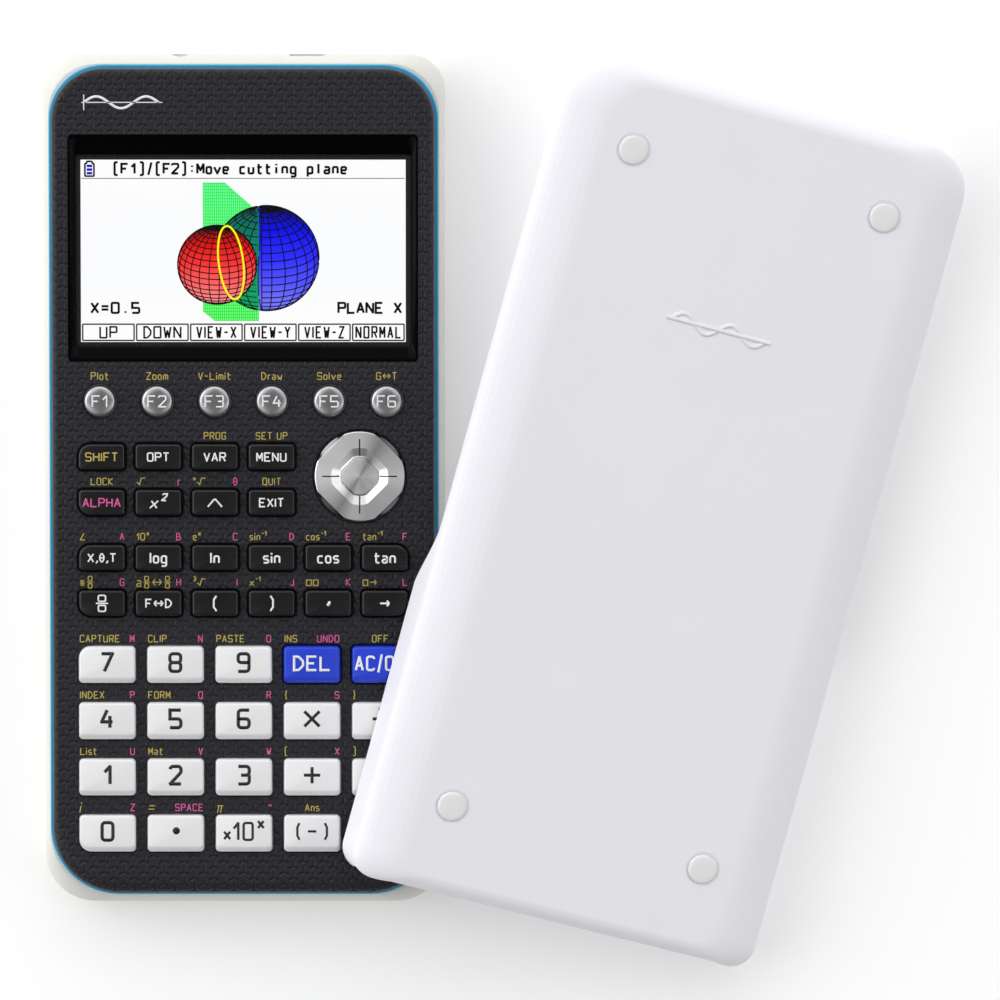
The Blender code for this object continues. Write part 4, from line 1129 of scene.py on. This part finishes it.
# the side walls seen from the side: deep towards the display end, with a soft step to shallow
profile = [(-COVER_L, -DEEP - 4 * mm), (COVER_L, -DEEP - 4 * mm), (COVER_L, -SHALLOW)]
STEP_HIGH, STEP_LOW = -COVER_L * 0.073, -COVER_L * 0.175
for k in range(25):
    t = k / 24
    rise = (1 + math.cos(math.pi * t)) / 2
    profile.append((STEP_HIGH + (STEP_LOW - STEP_HIGH) * t,
                    -DEEP - 1 * mm + (DEEP + 1 * mm - SHALLOW) * rise))
profile.append((-COVER_L, -DEEP - 1 * mm))
across = Matrix(((0, 0, 1, 0), (1, 0, 0, 0), (0, 1, 0, 0), (0, 0, 0, 1)))
carve(cover, [
    solid("cover_hollow", [[
        shell_ring(wall + side, wall + end, corner, drop) for side, end, corner, drop in (
            (lip, 0.0, 7.0, deep + 1.0), (lip, 0.0, 7.0, deep - 1.1),
            (0.0, 0.0, 8.3, deep - 1.5), (0.0, 0.0, 8.3, 5.2),
            (3.6, 2.1, 7.5, 3.6), (9.0, 4.2, 7.0, 1.8))]],
        place=lay_down),
    solid("cover_step", [slab(profile, -COVER_W, COVER_W)], place=lay_down @ across),
    solid("cover_mouth", [[
        (ring(2 * half * mm - 0.2 * mm, 14 * mm, 1.5 * mm, y=-COVER_L / 2), -drop * mm)
        for half, drop in ((inner - lip, deep + 2.0), (inner - lip, deep - 1.1),
                           (inner, deep - 1.5), (inner, 5.2), (inner - 3.6, 3.6),
                           (inner - 7.8, 2.2))]], place=lay_down),
    solid("foot_sockets", [[(circle(FOOT_D / 2 + q * mm, x, y, 48), z * mm) for q, z in (
        (0.05, -2.85), (0.05, -0.43), (0.34, -0.37), (0.56, -0.21), (0.68, 0.04), (0.75, 1.0))]
        for x, y in FOOT_PLACES], place=lay_down),
], crease=30)
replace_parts(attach(cover, "cover"), "slide_cover")

# a plain raised mark near the upper end: the same wave on its axis, moulded with the shell
mark_y, mark_h = COVER_L * 0.226, 1.7 * mm
wave = [(-11.0 * mm + 22.0 * mm * k / 48, mark_y + mark_h * math.sin(math.tau * 2 * k / 48))
        for k in range(49)]
mark = pen_work("cover_mark", [wave, [(-12.2 * mm, mark_y), (12.2 * mm, mark_y)]], -0.03 * mm,
                0.9 * mm, COVER_WHITE, 0.16 * mm)
mark.data.transform(lay_down)
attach(mark, "cover")

# ------------------------------------------------------------------ feet of the cover
# Four domed pads of pale thermoplastic rubber.  Each is pressed into a round socket with
# a rolled edge in the cover, and a wider head inside keeps it there.
# rubber: dull, with a soft edge; slightly lighter than the shell
FOOT_WHITE = moulded("pale_rubber", "#efefef", "#eaeaea", 0.62, 0.3 * mm, 0.01 * mm)
feet = solid("cover_feet", [[(circle(FOOT_D / 2 + q * mm, x, y, 48), z * mm) for q, z in (
    (0.5, -2.85), (0.5, -2.15), (0.0, -2.10), (0.0, 0.15), (-0.10, 0.33), (-0.35, 0.45),
    (-0.9, 0.5))] for x, y in FOOT_PLACES], FOOT_WHITE, lay_down)
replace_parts(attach(feet, "cover"), "feet_upper", "feet_lower")

# ------------------------------------------------------------------ floor, light and camera
# A pale table top, which glows a little so that shadows stay light, in a white room.  The
# ceiling is dark right above, so that flat glossy faces stay black, with light in its four
# corners; soft boxes stand at the left, at the display end and at the right.
TABLE_WHITE = moulded("pale_table", "#fbfbfb", "#fafafa", 0.7, 2 * mm, 0.01 * mm)
plug(TABLE_WHITE.node_tree, TABLE_WHITE.node_tree.nodes["Principled BSDF"],
     {"Emission Color": hex_colour("#ffffff"), "Emission Strength": 0.14})
table = solid("table_top", [slab(ring(6.0, 6.0, 0.5), -20 * mm, -0.02 * mm)], TABLE_WHITE)
world = bpy.data.worlds.new("white_room")
world.use_nodes = True
sky = world.node_tree
up = add(sky, "ShaderNodeSeparateXYZ", {0: add(sky, "ShaderNodeTexCoord").outputs["Generated"]})
corners = add(sky, "ShaderNodeMath", {0: up.outputs["X"], 1: up.outputs["Y"]},
              operation="MULTIPLY")
corners = add(sky, "ShaderNodeMath", {0: corners}, operation="ABSOLUTE")
ceiling = add(sky, "ShaderNodeMapRange", {0: corners, 1: 0.01, 2: 0.09, 3: 0.16, 4: 1.24},
              interpolation_type="SMOOTHSTEP")
walls = add(sky, "ShaderNodeMapRange", {0: up.outputs["Z"], 1: 0.82, 2: 0.60, 3: 0.0, 4: 0.98},
            interpolation_type="SMOOTHSTEP")
room = add(sky, "ShaderNodeMath", {0: ceiling, 1: walls}, operation="MAXIMUM")
# brighter at the left, darker in front
across_room = add(sky, "ShaderNodeMapRange", {0: up.outputs["X"], 1: -1.0, 2: 1.0, 3: 1.24,
                                              4: 0.72})
in_depth = add(sky, "ShaderNodeMapRange", {0: up.outputs["Y"], 1: -0.22, 2: -0.64, 3: 1.0,
                                           4: 0.16}, interpolation_type="SMOOTHSTEP")
for share in (across_room, in_depth):
    room = add(sky, "ShaderNodeMath", {0: room, 1: share}, operation="MULTIPLY")
plug(sky, sky.nodes["Background"], {"Strength": room, "Color": hex_colour("#ffffff")})
bpy.context.scene.world = world
AIM = Vector((0.05, 0.0, 0.0))
for name, spot, size, power in (("soft_box_left", (-1.15, 0.35, 0.75), 1.1, 4.4),
                                ("soft_box_top", (0.05, 1.1, 1.0), 0.9, 1.6),
                                ("soft_box_right", (1.2, -0.3, 0.9), 0.8, 1.0)):
    lamp = bpy.data.lights.new(name, "AREA")
    lamp.shape, lamp.size, lamp.energy = "SQUARE", size, power
    holder = stand(name, lamp)
    holder.location = spot
    holder.rotation_euler = (AIM - Vector(spot)).to_track_quat("-Z", "Y").to_euler()
bpy.context.scene.view_settings.view_transform = "Standard"

EYE = Vector((56.7 * mm, 126.0 * mm, 1900 * mm))
LOOK_AT = Vector((56.7 * mm, -4.0 * mm, 17.0 * mm))
SENSOR = 36.0                               # width in the camera's own millimetres
FIELD = 221.0 * mm                          # what the frame takes in at the calculator's face
eye = bpy.data.cameras.new("eye")
eye.sensor_width = SENSOR
eye.lens = SENSOR * (EYE - LOOK_AT).length / FIELD
camera = stand("eye", eye)
ahead = (LOOK_AT - EYE).normalized()
rightward = ahead.cross(Vector((0.0, 1.0, 0.0))).normalized()
camera.matrix_world = Matrix.Translation(EYE) @ Matrix(
    (rightward, rightward.cross(ahead), -ahead)).transposed().to_4x4()
bpy.context.scene.camera = camera
